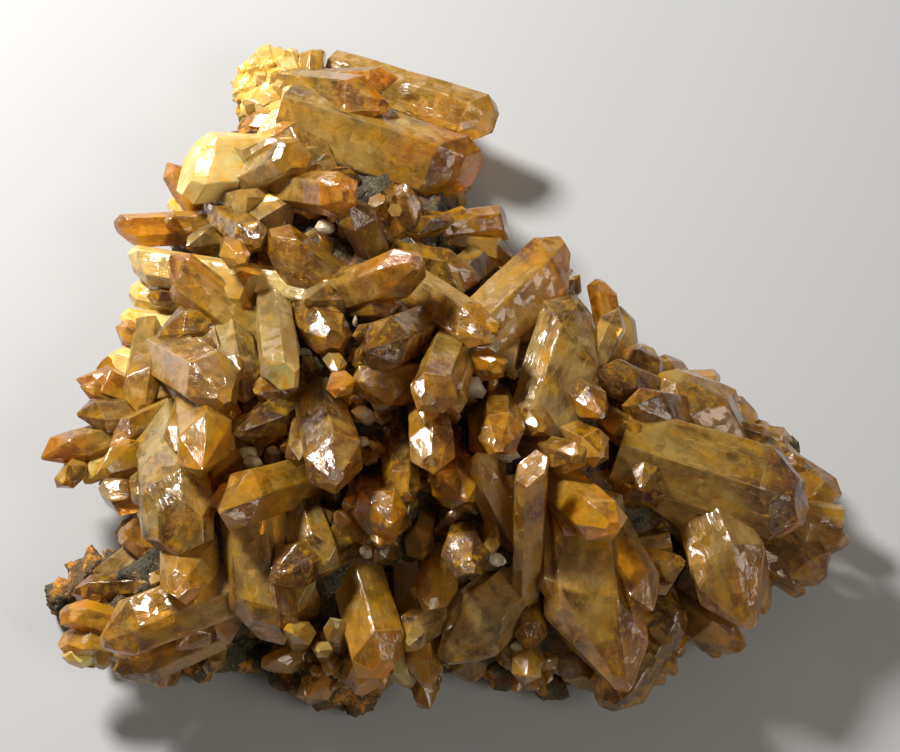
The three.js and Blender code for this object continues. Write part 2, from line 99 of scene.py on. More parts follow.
leftFlank = [
    (30.8, 65.5, 10, 77.5, 73, 13, 10, 0.85, 10, 0.5, "frost"),
    (40.5, 66, 17, 60, 80.5, 11, 11, 0.8, 5, 0.3, "glow"),
    (31.8, 72.5, 3, 41.3, 75, 5, 7.5, 0.9, 0, 0.3, "cream"),
    (36.5, 73.8, 9, 47, 75, 8, 5, 0.9, 0, 0.2, "brown"),
    (39, 82.5, 12, 53.8, 81.3, 10, 11, 0.85, 10, 0.2, "brown"),
    (28.5, 82, 5, 37, 85.5, 6, 7, 0.9, 0, 0.1, "orange"),
    (29.5, 79.5, 2, 37.5, 80.5, 4, 6, 0.9, 0, 0.3, "cream"),
    (26.3, 89.5, 3, 35, 92, 6, 8, 0.9, 0, 0.4, "cream"),
    (19.3, 93.5, 8, 31.3, 98, 7, 9.5, 0.85, 15, 0, "orange"),
    (19.3, 104.5, 12, 35, 103.8, 8, 9, 0.8, 20, 0.1, "plum"),
    (27, 110.5, 16, 40.5, 103.8, 12, 7.5, 0.8, 10, 0.1, "honey"),
    (35, 102, 10, 37, 87.5, 8, 9.5, 0.9, 10, 0.3, "honey"),
    (55.3, 97, 24, 44, 90.5, 14, 15, 0.85, 15, 0.3, "pink"),
    (52.3, 115.8, 26, 49.5, 98.8, 12, 15, 0.85, 5, 0, "amber"),
    (10.8, 115.5, 10, 27, 110, 8, 10.5, 0.85, 5, 0.1, "glow"),
    (16.5, 121, 12, 21, 113.8, 8, 7, 0.9, 0, 0.2, "amber"),
    (22, 120.5, 8, 26.3, 114.5, 7, 7, 0.9, 15, 0.3, "frost"),
    (26.5, 117.5, 22, 36.3, 113.8, 12, 9.5, 0.9, 5, 0.3, "amber"),
    (45, 134, 16, 41.3, 112, 6, 20, 0.8, 10, 0.6, "grey"),
    (24.5, 124.5, 6, 37.5, 122.5, 6, 10, 0.8, 20, 0.4, "pink"),
    (48.8, 131.3, 14, 51.3, 123.8, 8, 7, 0.9, 0, 0.3, "frost"),
    (54.5, 127, 24, 75, 120.5, 18, 13, 0.8, 28, 0.1, "amber"),
    (28.8, 133.8, 6, 38.8, 134.5, 6, 10.5, 0.9, 10, 0.4, "orange"),
    (43, 146.3, 15, 50, 136.3, 5, 15.5, 0.85, 10, 0.4, "amber"),
    (18, 147.5, 5, 25, 147, 4, 7, 0.9, 0, 0.3, "brown"),
    (15, 152, 8, 23.8, 154.5, 6, 8, 0.9, 0, 0.4, "orange"),
    (14.3, 159.5, 5, 23.8, 160, 4, 9.5, 0.8, 10, 0.5, "amber"),
    (16, 165.5, 2, 23, 162.5, 3, 6.5, 0.9, 0, 0.4, "cream"),
    (24.5, 167, 3, 26.3, 161.3, 4, 7, 0.9, 0, 0.4, "yellow"),
    (24.5, 160, 12, 56.3, 147.5, 6, 13.5, 0.8, 28, 0.2, "honey"),
    (29, 170, 6, 46.3, 162, 4, 9, 0.8, 15, 0.3, "plum"),
    (38, 172, 1, 40.5, 166.3, 2, 6, 0.9, 0, 0.4, "pink"),
    (45, 162.5, 9, 53.8, 155, 6, 8, 0.9, 0, 0.2, "brown"),
    (52.5, 168.8, 0, 53.8, 163.8, 1, 5, 0.9, 0, 0.4, "grey"),
]

middle = [
    (67, 161.5, 15, 63, 130, 14, 15.5, 0.8, 5, 0.6, "plum"),
    (68.8, 143.8, 13, 83.8, 136.3, 9, 11, 0.8, 20, 0.2, "smoky"),
    (71.3, 153.8, 7, 76.3, 143.8, 5, 7, 0.9, 0, 0.2, "frost"),
    (80, 142.5, 9, 75, 127.5, 9, 12, 0.8, 15, 0.3, "grey"),
    (84.5, 119.5, 28, 79.5, 101.3, 10, 14.5, 0.9, 12, 0.3, "agate"),
    (70.3, 94.5, 26, 68.5, 78, 18, 10, 0.9, 8, 0.7, "frost"),
    (60.8, 99, 14, 58, 83.8, 10, 12, 0.8, 20, 0, "grey"),
    (60.8, 110.5, 12, 73.8, 99.5, 8, 11.5, 0.85, 10, 0.2, "smoky"),
    (64.5, 97, 12, 76.3, 96.3, 8, 9, 0.85, 20, 0.2, "brown"),
    (84, 85, 9, 75, 78, 5, 12, 0.9, 0, 0.4, "brown"),
    (85, 92, 11, 81.3, 87, 8, 4.5, 0.8, 20, 0, "frost"),
    # Its brown tint is partly painted shade, for the shade this crystal lies in.
    (65.5, 60, 12, 85, 72.5, 11, 14, 0.8, 5, 0.4, "brown"),
    (78, 77, 8, 88, 72, 6, 10, 0.85, 10, 0.2, "grey"),
    (104.5, 66.5, 26, 86.3, 73, 16, 12.5, 0.85, 10, 0.3, "glow"),
    (113, 58, 7, 101, 56, 5, 10, 0.9, 0, 0.3, "brown"),
    (120, 68.8, 9, 106.3, 66.3, 6, 10, 0.85, 15, 0.3, "brown"),
    (107.5, 100, 30, 113, 85.5, 18, 11, 0.85, 8, 0.3, "honey"),
    (92.8, 87.5, 22, 107, 81.3, 12, 12.5, 0.85, 20, 0, "smoky"),
    (122.5, 83.8, 20, 105, 73, 14, 11, 0.8, 10, 0.3, "honey"),
    (124, 91.5, 14, 115.5, 90.5, 10, 8, 0.9, 0, 0.4, "orange"),
    (85.3, 96, 22, 85, 97, 6, 7, 0.9, 15, 0.2, "orange"),
    (90, 97, 16, 110, 95.5, 12, 10, 0.8, 20, 0.2, "tan"),
    (124.8, 110.5, 24, 124.5, 102, 8, 10.5, 0.9, 5, 0.3, "orange"),
    (108.3, 114.5, 24, 106.5, 101.3, 14, 11, 0.85, 25, 0.4, "honey"),
    (113.8, 124.5, 20, 112.5, 113.8, 8, 10.5, 0.85, 15, 0.1, "orange"),
    (100.5, 124, 12, 99.5, 108.8, 8, 9, 0.9, 0, 0.3, "brown"),
    (95.5, 130.5, 20, 93.8, 122.5, 4, 13, 0.9, 8, 0.1, "orange"),
    (109, 151.5, 14, 110, 140, 6, 10, 0.9, 0, 0.3, "amber"),
    (115.8, 140, 16, 116.3, 133.8, 3, 11.5, 0.9, 10, 0.3, "smoky"),
    (123, 137.3, 12, 122.8, 125, 10, 4, 0.9, 0, 0.4, "tan"),
    (118.5, 114.5, 18, 128, 132.5, 14, 9.5, 0.85, 10, 0.3, "pink"),
    (133, 114.5, 24, 131.8, 143, 18, 8, 0.85, 20, 0.9, "honey"),
    (104.5, 138, 4, 106.3, 130, 2, 8, 0.9, 0, 0.2, "frost"),
    (136, 106, 12, 130, 104, 8, 8, 0.9, 0, 0.3, "honey"),
    (144.5, 115, 18, 131.3, 111.3, 14, 8, 0.85, 15, 0.3, "honey"),
]

rightFlank = [
    (128.5, 55.3, 6, 113, 57, 6, 9.5, 0.9, 0, 0.9, "orange"),
    (129, 64.5, 6, 116.3, 60.5, 6, 7.5, 0.9, 0, 0.3, "tan"),
    (143.5, 62.5, 20, 123, 81.3, 14, 18, 0.8, 18, 0.3, "honey"),
    (149.8, 69.3, 10, 153, 86.3, 8, 7.5, 0.9, 20, 0.3, "orange"),
    (147, 74, 26, 137, 103.8, 14, 19, 0.8, 12, 0.3, "grey"),
    (155.3, 75.5, 4, 157, 87.5, 5, 6, 0.9, 0, 0.3, "cream"),
    (162, 85.5, 10, 160, 100, 8, 11, 0.9, 10, 0.4, "brown"),
    (150.5, 93, 16, 163.8, 98, 10, 10, 0.85, 20, 0.1, "brown"),
    (150, 103, 16, 141, 94, 12, 9, 0.8, 0, 0.2, "brown"),
    (168, 92, 20, 177, 106, 10, 17, 0.8, 10, 0.35, "pink"),
    (159, 103, 14, 172, 104, 9, 12, 0.8, 20, 0.2, "brown"),
    (172.5, 90, 2, 163.8, 93.8, 4, 8, 0.9, 0, 0.4, "honey"),
    (180.5, 95.8, 1, 172.5, 96.3, 3, 8, 0.9, 0, 0.4, "tan"),
    (190.5, 103.3, 1, 180, 102.5, 3, 8, 0.9, 0, 0.4, "tan"),
    (199.3, 111.5, 1, 188.8, 110, 3, 9, 0.9, 0, 0.4, "honey"),
    (199.5, 117.5, 9, 193.8, 111.3, 6, 6, 0.9, 0, 0.4, "brown"),
    (203, 126.3, 18, 163.8, 113.8, 16, 21, 0.75, 22, 0.5, "plum"),
    (209, 126.3, 2, 196.3, 117.5, 4, 11, 0.85, 0, 0.4, "honey"),
    (212.5, 136.3, 2, 200, 132.5, 4, 13, 0.85, 10, 0.3, "tan"),
    (205.5, 145.5, 3, 196.3, 136.3, 4, 13, 0.85, 20, 0.3, "brown"),
    (188, 155.5, 16, 178, 130, 12, 19, 0.85, 27, 0.2, "pink"),
    (193, 153, 0, 188, 145, 1, 8, 0.9, 0, 0.4, "tan"),
    (203, 147, -1, 191.3, 140, 1, 9, 0.9, 0, 0.4, "brown"),
    (170.8, 140, 9, 159, 142, 6, 15, 0.85, 10, 0.2, "brown"),
    (151, 113, 14, 140, 107.5, 10, 9, 0.85, 15, 0.2, "honey"),
    (158.8, 110, 8, 150, 103.8, 6, 8, 0.9, 0, 0.3, "brown"),
    (165.5, 126.3, 6, 156.3, 122.5, 6, 10, 0.9, 10, 0.3, "brown"),
    (170, 132.5, 3, 164, 130, 2, 8, 0.9, 0, 0.3, "smoky"),
    (161.3, 121.3, 9, 162.5, 113.8, 6, 8, 0.9, 0, 0.2, "honey"),
]

foot = [
    (151.5, 173, 20, 146.3, 133.8, 16, 24, 0.75, 5, 0.2, "honey"),
    (153, 132.5, 27, 140.5, 121.8, 19, 11.5, 0.9, 15, 0.3, "amber"),
    (96.3, 168, 16, 90, 146.3, 8, 14, 0.8, 25, 0.4, "amber"),
    (93, 174.3, 8, 93.8, 162.5, 8, 13, 0.9, 10, 0.5, "amber"),
    (75, 157.5, 18, 74.5, 160, 8, 8, 0.9, 0, 0.2, "yellow"),
    (80.5, 162, 14, 81.3, 163.8, 8, 5, 0.9, 0, 0.15, "cream"),
    (83.8, 156.3, 10, 83.8, 161.3, 6, 6, 0.9, 0, 0.3, "frost"),
    (106.3, 172, 10, 105.5, 158.8, 6, 8.5, 0.9, 10, 0.3, "honey"),
    (101.3, 172.5, 5, 99.5, 162.5, 4, 7, 0.9, 0, 0.4, "cream"),
    (111.3, 163.8, 12, 126.3, 150, 6, 17, 0.8, 15, 0.3, "grey"),
    (100, 160, 10, 112.5, 151.3, 6, 9, 0.85, 10, 0.3, "grey"),
    (132.5, 161.3, 8, 132.5, 151.3, 4, 8, 0.9, 0, 0.5, "smoky"),
    (151.5, 177.3, 4, 161.3, 162.5, 4, 14, 0.85, 10, 0.4, "smoky"),
    (170, 165, 2, 161.3, 163.8, 2, 9, 0.9, 0, 0.4, "brown"),
    (165, 172.5, 1, 160, 166.3, 2, 8, 0.9, 0, 0.4, "orange"),
    (184.5, 163, 4, 174.5, 155.5, 2, 10.5, 0.9, 10, 0.4, "pink"),
    (172.5, 162.5, 2, 166.3, 153.8, 2, 11, 0.9, 0, 0.3, "smoky"),
    (66, 168, 3, 73, 164.5, 3, 7, 0.9, 0, 0.4, "amber"),
]

# Each tint: colour at the root, colour at the tip, how cloudy, how much plum in a band under the tip,
# how stained with brown.
tints = {
    "tan": ((0.78, 0.47, 0.10), (0.80, 0.37, 0.03), 0.60, 0.3, 0.8),
    "glow": ((0.74, 0.44, 0.085), (0.98, 0.32, 0.003), 0.45, 0.5, 0.8),
    "cream": ((1.0, 0.75, 0.28), (1.0, 0.71, 0.21), 0.70, 0.0, 0.1),
    # Cream brightened as a painted highlight: partly its own pale colour, partly painted light.
    "cream_painted_highlight": ((1.0, 0.86, 0.44), (1.0, 0.84, 0.34), 0.90, 0.0, 0.05),
    "yellow": ((0.90, 0.62, 0.16), (0.95, 0.54, 0.05), 0.55, 0.0, 0.25),
    "orange": ((0.84, 0.35, 0.018), (1.0, 0.35, 0.002), 0.20, 0.15, 0.6),
    "amber": ((0.88, 0.49, 0.045), (1.0, 0.42, 0.004), 0.35, 0.2, 0.5),
    "honey": ((0.76, 0.45, 0.085), (0.86, 0.36, 0.009), 0.50, 0.7, 0.8),
    "smoky": ((0.24, 0.125, 0.027), (0.36, 0.145, 0.009), 0.20, 0.6, 1.0),
    "plum": ((0.78, 0.48, 0.11), (0.45, 0.20, 0.055), 0.55, 0.9, 0.7),
    "grey": ((0.56, 0.41, 0.15), (0.60, 0.37, 0.085), 0.70, 0.4, 1.0),
    "frost": ((0.86, 0.67, 0.32), (0.92, 0.65, 0.24), 0.75, 0.0, 0.3),
    "pink": ((0.82, 0.50, 0.17), (0.84, 0.42, 0.10), 0.60, 0.3, 0.5),
    "brown": ((0.34, 0.155, 0.024), (0.56, 0.22, 0.009), 0.30, 0.5, 1.0),
    "agate": ((0.72, 0.53, 0.24), (0.38, 0.12, 0.008), 0.70, 0.3, 0.8),
}
tintNames = list(tints)
tintRoot = np.array([tints[name][0] for name in tintNames])
tintTip = np.array([tints[name][1] for name in tintNames])
tintCloud = np.array([tints[name][2] for name in tintNames])
tintPlum = np.array([tints[name][3] for name in tintNames])
tintStain = np.array([tints[name][4] for name in tintNames])


# A repeatable number from 0 to 1: the far decimals of a sine of seed and trait.
def chance(seed, trait):
    wave = np.sin(np.asarray(seed) * 12.9898 + np.asarray(trait) * 78.233) * 43758.5453
    return wave - np.floor(wave)


# Three repeatable numbers from -0.5 to 0.5 for each seed.
def scatter(seed):
    return np.stack([chance(seed, 81), chance(seed, 82), chance(seed, 83)], -1) - 0.5


# The number at a share of the way from one limit to the other.
def within(limits, share):
    return limits[0] + (limits[1] - limits[0]) * share


# Three numbers for each seed, each within its own limits.
def girths(seed, trait, limits):
    return np.stack([within(pair, chance(seed, trait + n)) for n, pair in enumerate(limits)], -1)


# Values rounded off in part to steps, which makes terraces of waves.
def stepped(values, steps, share):
    return (1 - share) * values + share * np.round(values * steps) / steps


def unit(vectors):
    return vectors / np.linalg.norm(vectors, axis=-1, keepdims=True)


# The point at a length and an angle from the middle.
def heading(length, angle):
    return np.stack([length * np.cos(angle), length * np.sin(angle)], -1)


def tintNumbers(names):
    return np.array([tintNames.index(name) for name in names])


def pickTints(names, luck):
    return tintNumbers([names[int(n)] for n in luck * len(names)])


# The sheet's own directions and the eye, from the elevation.
elevation = np.radians(sheet["eyeElevation"])
toEye = np.array([0.0, -np.cos(elevation), np.sin(elevation)])
sheetUp = np.array([0.0, np.sin(elevation), np.cos(elevation)])
sheetRight = np.array([1.0, 0.0, 0.0])
sheetMiddle = np.array(sheet["middle"], float)
eye = sheetMiddle + sheet["eyeDistance"] * toEye


# Where the eye's ray through a place on the sheet meets a height above the ground.
def placed(x, y, height):
    x, y, height = np.broadcast_arrays(x, y, height)
    across = (x - sheet["width"] / 2)[..., None] * sheetRight
    ray = sheetMiddle + across + (sheet["height"] / 2 - y)[..., None] * sheetUp - eye
    return eye + ray * ((height - eye[2]) / ray[..., 2])[..., None]


# Distance from the heart to the outline along each direction: the ray is crossed with every edge.
def reach(dx, dy):
    a = outline - heart
    b = np.roll(outline, -1, 0) - heart
    dx, dy = np.asarray(dx)[..., None], np.asarray(dy)[..., None]
    edge = b - a
    across = dx * edge[:, 1] - dy * edge[:, 0]
    across = np.where(np.abs(across) < 1e-12, 1e-12, across)
    along = (a[:, 0] * edge[:, 1] - a[:, 1] * edge[:, 0]) / across
    share = (a[:, 0] * dy - a[:, 1] * dx) / across
    met = (along > 0) & (share >= -1e-6) & (share <= 1 + 1e-6)
    return np.where(met, along, 1e9).min(-1) * np.hypot(dx, dy)[..., 0]


# Share of the way from the heart to the outline, 1 outside it.
def spread(x, y):
    dx, dy = x - heart[0], y - heart[1]
    return np.minimum(1, np.hypot(dx, dy) / reach(dx + 1e-9, dy))


# A dome over the outline: rim plus the rest of the peak times one minus spread to the fall's power,
# less a bell-shaped dip for each gap.
def crustHeight(x, y):
    x, y = np.broadcast_arrays(np.asarray(x, float), np.asarray(y, float))
    dome = crust["rim"] + (crust["peak"] - crust["rim"]) * (1 - spread(x, y) ** crust["fall"])
    far = (x[..., None] - gaps[:, 0]) ** 2 + (y[..., None] - gaps[:, 1]) ** 2
    return dome - (gaps[:, 3] * np.exp(-far / gaps[:, 2] ** 2)).sum(-1)


# Smooth noise from -1 to 1: each lattice point has its own number, and they are blended along three
# axes with a smooth step.
def latticeNoise(points, seed):
    cell = np.floor(points)
    part = points - cell
    part = part * part * (3 - 2 * part)
    total = 0
    for corner in np.ndindex(2, 2, 2):
        at = cell + corner
        number = chance(at[..., 0] * 1.31 + at[..., 1] * 7.77 + at[..., 2] * 3.13, seed)
        weight = np.prod(np.where(np.array(corner) == 1, part, 1 - part), axis=-1)
        total = total + number * weight
    return 2 * total - 1


# Layers of the smooth noise, each twice as fine and half as strong as the one before.
def roughness(points, seed, layers=4):
    return sum(latticeNoise(points * 2**k + 17 * k, seed + k) / 2**k for k in range(layers))


# Places on a sunflower's spiral: across, down and share of the way out. Each place is a turn further
# than the last, the golden angle unless another is given.
def spiral(count, turn=np.pi * (3 - 5**0.5), start=0.0):
    i = np.arange(count, dtype=float)
    return np.cos(start + i * turn), np.sin(start + i * turn), np.sqrt((i + 0.5) / count)


# The spiral stretched to the outline: places on the sheet and their shares of the way out.
def spiralOverCrust(count, most, **turning):
    toX, toY, share = spiral(count, **turning)
    length = reach(toX, toY) * share * most
    return heart[0] + toX * length, heart[1] + toY * length, share


# A mesh object from points in millimetres and faces, with its vertex values of one, three or four
# numbers each.
def meshPiece(name, points, faces, values, smoothAngle):
    mesh = bpy.data.meshes.new(name)
    points = points.reshape(-1, 3) * millimetre
    mesh.from_pydata(points.tolist(), [], faces)
    kinds = {1: ("FLOAT", "value"), 3: ("FLOAT_VECTOR", "vector"), 4: ("FLOAT_COLOR", "color")}
    for valueName, array in values.items():
        kind, field = kinds[array.size // len(points)]
        layer = mesh.attributes.new(valueName, kind, "POINT")
        layer.data.foreach_set(field, array.astype(np.float32).ravel())
    mesh.validate()
    mesh.shade_smooth()
    mesh.set_sharp_from_angle(angle=np.radians(smoothAngle))
    piece = bpy.data.objects.new(name, mesh)
    bpy.context.scene.collection.objects.link(piece)
    return piece


# Faces of grids: quads between neighbouring rows and columns, and one flat face at each end.
def gridFaces(count, rowCount, columnCount):
    row, column = np.meshgrid(np.arange(rowCount - 1), np.arange(columnCount), indexing="ij")
    after = (column + 1) % columnCount
    quad = np.stack([
        row * columnCount + column, row * columnCount + after,
        (row + 1) * columnCount + after, (row + 1) * columnCount + column,
    ], -1).reshape(-1, 4)
    size = rowCount * columnCount
    start = np.arange(count)[:, None] * size
    quads = (quad[None] + start[..., None]).reshape(-1, 4).tolist()
    roots = (start + np.arange(columnCount)[::-1]).tolist()
    tops = (start + size - columnCount + np.arange(columnCount)).tolist()
    return quads + roots + tops


# A mesh object from grids of points, none of them below a height.
def gridPiece(name, points, values, smoothAngle, lowest):
    points[..., 2] = np.maximum(points[..., 2], lowest)
    return meshPiece(name, points, gridFaces(*points.shape[:3]), values, smoothAngle)


# How uneven a crystal is: sway of its side faces in degrees, their distances, girth of the root, slant
# of the shoulder and its turn, then place, turn and rise of the apex as shares of the width.
form = {
    "sides": 6, "sway": 7, "distance": (0.9, 1.1), "root": (0.78, 1.06), "slant": (0.3, 0.85),
    "slantTurn": 2.2, "apexOut": 0.3, "apexTurn": 1.6, "rise": (0.42, 0.68), "leastBlunt": 0.03,
}


# The corners of each crystal's section: side faces at even angles and uneven distances, crossed with
# their neighbours and fitted to the width.
def sectionCorners(traits):
    nth = np.arange(form["sides"])
    seed = traits["seed"][:, None]
    sway = form["sway"] * (chance(seed, nth) - 0.5)
    angle = np.radians(traits["roll"][:, None] + 360 / form["sides"] * nth + sway)
    oval = np.hypot(np.cos(angle) * traits["flat"][:, None], np.sin(angle))
    inset = oval * within(form["distance"], chance(seed, nth + 10))
    nextAngle, nextInset = np.roll(angle, -1, 1), np.roll(inset, -1, 1)
    corners = np.stack([
        inset * np.sin(nextAngle) - nextInset * np.sin(angle),
        nextInset * np.cos(angle) - inset * np.cos(nextAngle),
    ], -1) / np.sin(nextAngle - angle)[..., None]
    fit = traits["width"] / np.ptp(corners[..., 1], axis=1)
    return corners * fit[:, None, None]


# The three rings of corners that hold a crystal's form: the root, the slanting shoulder, which is lower
# towards the eye, and the top, where the end faces are cut short on their way to an apex behind the
# middle.
def crystalRings(traits):
    seed, width = traits["seed"], traits["width"]
    section = sectionCorners(traits)
    girth = within(form["root"], chance(seed, 20))[:, None, None]
    turn = np.pi + form["slantTurn"] * (chance(seed, 22) - 0.5)
    slant = heading(within(form["slant"], chance(seed, 21)), turn)
    turn = turn + form["apexTurn"] * (chance(seed, 24) - 0.5)
    apexAt = heading(form["apexOut"] * width * chance(seed, 23), turn)
    rise = width * within(form["rise"], chance(seed, 25)) + (slant * apexAt).sum(-1)
    shoulder = np.concatenate([section, (section * slant[:, None]).sum(-1, keepdims=True)], -1)
    apex = np.concatenate([apexAt, rise[:, None]], -1)[:, None]
    top = apex + (shoulder - apex) * np.maximum(traits["blunt"], form["leastBlunt"])[:, None, None]
    lift = (traits["length"] - top[..., 2].max(1))[:, None]
    shoulder[..., 2] += lift
    top[..., 2] += lift
    root = np.concatenate([section * girth, np.zeros_like(section[..., :1])], -1)
    return root, shoulder, top


# Grids of the large, middling and small crystals. A row is at 0 on the root, 1 on the shoulder, 2 on
# the rim of the top and 3 in its middle; a column is a share of a side. The edges are worn and the
# faces waved by shares of the width.
largeGrid = {
    "rows": np.array([
        0, 0.2, 0.35, 0.5, 0.62, 0.73, 0.83, 0.92, 0.985, 1, 1.03, 1.16, 1.34, 1.52, 1.7, 1.86, 1.97,
        2, 2.05, 2.3, 2.65,
    ]),
    "columns": np.array([0, 0.035, 0.18, 0.34, 0.5, 0.66, 0.82, 0.965]),
    "wear": 0.010, "waves": 0.13, "depth": 0.014,
}
mediumGrid = {
    "rows": np.array([0, 0.55, 0.97, 1, 1.04, 1.5, 1.95, 2, 2.08]),
    "columns": np.array([0, 0.06, 0.5, 0.94]),
    "wear": 0.008, "waves": 0.2, "depth": 0.010,
}
smallGrid = {
    "rows": np.array([0, 0.96, 1, 1.95, 2]),
    "columns": np.array([0, 0.93]),
    "wear": 0.008, "waves": 0.3, "depth": 0.006,
}

# Grain and size of the chips along the edges, the most where two edges meet, steps on the faces, the
# share that is stepped, and the part of it all that goes along the crystal.
wearing = {"grain": 0.25, "chips": (0.4, 1.6), "most": 1.4, "steps": 2.5, "stepped": 0.7, "along": 0.6}


# Which columns of a grid follow the crystal's corners, and which rows its shoulder and its top.
def gridEdges(grid):
    return np.tile(grid["columns"] == 0, form["sides"])[None], np.isin(grid["rows"], (1, 2))[:, None]


# Fine grids of many crystals at once. Along each crystal the rows blend root to shoulder to top to
# the top's middle; round it the columns blend corner to corner, and each corner and the shoulder's
# and top's own rows are worn in a little. Slow noise, in part rounded off to steps, makes the faces
# uneven and terraced.
def crystalGrids(traits, grid):
    root, shoulder, top = crystalRings(traits)
    middle = np.broadcast_to(top.mean(1, keepdims=True), top.shape)
    stages = np.stack([root, shoulder, top, middle], 1)
    low = np.minimum(grid["rows"].astype(int), 2)
    part = (grid["rows"] - low)[None, :, None, None]
    ringed = (stages[:, low] * (1 - part) + stages[:, low + 1] * part)[:, :, :, None]
    column = grid["columns"][:, None]
    around = ringed * (1 - column) + np.roll(ringed, -1, 2) * column
    points = around.reshape(len(root), len(low), -1, 3)
    corners, rings = gridEdges(grid)
    worn = np.minimum(corners * 1.0 + rings, wearing["most"])
    seed = traits["seed"][:, None, None, None]
    chips = within(wearing["chips"], np.abs(latticeNoise(points * wearing["grain"] + seed, 3)))
    waves = roughness(points * grid["waves"] + seed * 1.7, 5, 2)
    waves = grid["depth"] * stepped(waves, wearing["steps"], wearing["stepped"])
    outward = unit(points - points.mean(2, keepdims=True) + 1e-6) * [1, 1, wearing["along"]]
    moved = traits["width"][:, None, None] * (waves - grid["wear"] * worn * chips)
    return points + outward * moved[..., None]


# Axes that stand each crystal from its root to its tip with one side to the eye, or upwards on the
# sheet where it points almost at the eye.
def crystalFrames(tip, root):
    axis = unit(tip - root)
    steep = np.abs(axis @ toEye)[:, None] >= 0.95
    facing = np.where(steep, sheetUp, toEye)
    front = unit(facing - (facing * axis).sum(-1, keepdims=True) * axis)
    return np.stack([front, np.cross(axis, front), axis], 1)


# What lies inside the crystals and on them: colours of the clouds, of which the bright gold ones are
# painted glints that stand for light caught in cracks, of the plum band and of the edges, which are
# partly worn and partly a painted highlight; where along the crystal the tip's colour begins and over
# what share it grows, scale and strength of its drift, place and width of the band, scale, strength and
# level of its patches, and how much crystals, faces and edges differ.
inner = {
    # Gold: painted glints where light catches in cracks. Edge: partly wear, partly painted highlight.
    "milk": (0.92, 0.66, 0.22), "brown": (0.10, 0.036, 0.005), "painted_glint": (1.0, 0.50, 0.006),
    "plum": (0.16, 0.068, 0.055), "edge": (0.98, 0.66, 0.20),
    "tipFrom": 0.42, "tipOver": 0.42, "drift": (0.12, 0.16), "endWarmth": -0.4,
    "band": (0.76, 0.15), "patches": (0.13, 2.2, 0.45), "crystalTone": (0.85, 1.15),
    "faceTone": (0.5, 1.35), "faceJump": 14.0, "edgeShare": (0.16, 0.48), "cloudiness": (1.3, 0.6),
    "etched": 0.5, "ownStep": (37.0, 11.0, 0.0),
}

# The clouds: scale, shift, seed and layers of the noise, its strength and level, how much a face's haze
# adds, and the most of it.
clouds = {
    "milk": (0.2, 1.3, 51, 3, 1.9, -0.45, 1.2, 1.0),
    "brown": (0.16, 0.7, 61, 3, 2.3, -0.15, -0.4, 0.9),
    # Painted glints: bright gold patches where light would catch in cracks.
    "painted_glint": (0.33, 0.9, 71, 2, 2.4, -0.5, 0.0, 0.8),
}


# A number from 0 to 1 for each face of each crystal: the side faces, the end faces and the cut top,
# spread over the grid's points.
def faceNumber(traits, grid, trait):
    stage = np.minimum(grid["rows"].astype(int), 2)[:, None]
    sideOf = np.repeat(np.arange(form["sides"]), len(grid["columns"]))
    face = np.where(stage == 2, 2 * form["sides"], stage * form["sides"] + sideOf)
    return chance(traits["seed"][:, None, None], trait + face)


# Colour of each point of a crystal: its tint's root colour blended into the tip colour, then clouds of
# milk and brown that lie through it, bright gold patches of painted glint where light would catch in
# cracks, a plum band under the tip, and pale edges, partly worn and partly a painted highlight. Each
# face looks into another part of the clouds and has its own tone.
def crystalColours(local, along, traits, grid):
    kind, seed = traits["tint"], traits["seed"][:, None, None, None]
    tone, warmth, haze = (faceNumber(traits, grid, trait) for trait in (200, 230, 260))
    seen = local + inner["faceJump"] * np.stack([tone, warmth, haze], -1)
    scale, strength = inner["drift"]
    drifted = along + strength * latticeNoise(local * scale + seed, 9)
    onEnd = np.clip(20 * grid["rows"] - 20, 0, 1)[None, :, None] * (warmth + inner["endWarmth"])
    blend = np.clip((drifted - inner["tipFrom"]) / inner["tipOver"] + onEnd, 0, 1)[..., None]
    blend = blend * blend * (3 - 2 * blend)
    colour = tintRoot[kind][:, None, None] * (1 - blend) + tintTip[kind][:, None, None] * blend
    tone = within(inner["faceTone"], tone) * within(inner["crystalTone"], chance(seed[..., 0], 70))
    colour = colour * tone[..., None]
    cloud, stain, plum = (values[kind][:, None, None] for values in (tintCloud, tintStain, tintPlum))
    shares = {"milk": cloud, "brown": stain, "painted_glint": 1.0}
    amounts = {}
    for name, (scale, shift, number, layers, strength, level, hazy, most) in clouds.items():
        billows = strength * roughness(seen * scale + seed * shift, number, layers)
        amounts[name] = np.clip(billows + level + hazy * haze, 0, 1) * most * shares[name]
    place, width = inner["band"]
    scale, strength, level = inner["patches"]
    patches = np.clip(level + strength * latticeNoise(seen * scale + seed * 2, 4), 0, 1)
    amounts["plum"] = np.exp(-(((drifted - place) / width) ** 2)) * plum * patches
    corners, rings = gridEdges(grid)
    # Pale edges: partly worn, partly a painted highlight where the edges catch the light.
    amounts["edge"] = (corners | rings) * within(inner["edgeShare"], haze)
    for name, amount in amounts.items():
        colour = colour + (np.array(inner[name]) - colour) * amount[..., None]
    colour = np.concatenate([np.clip(colour, 0, 1), np.ones_like(colour[..., :1])], -1)
    return colour, cloud * within(inner["cloudiness"], blend[..., 0])


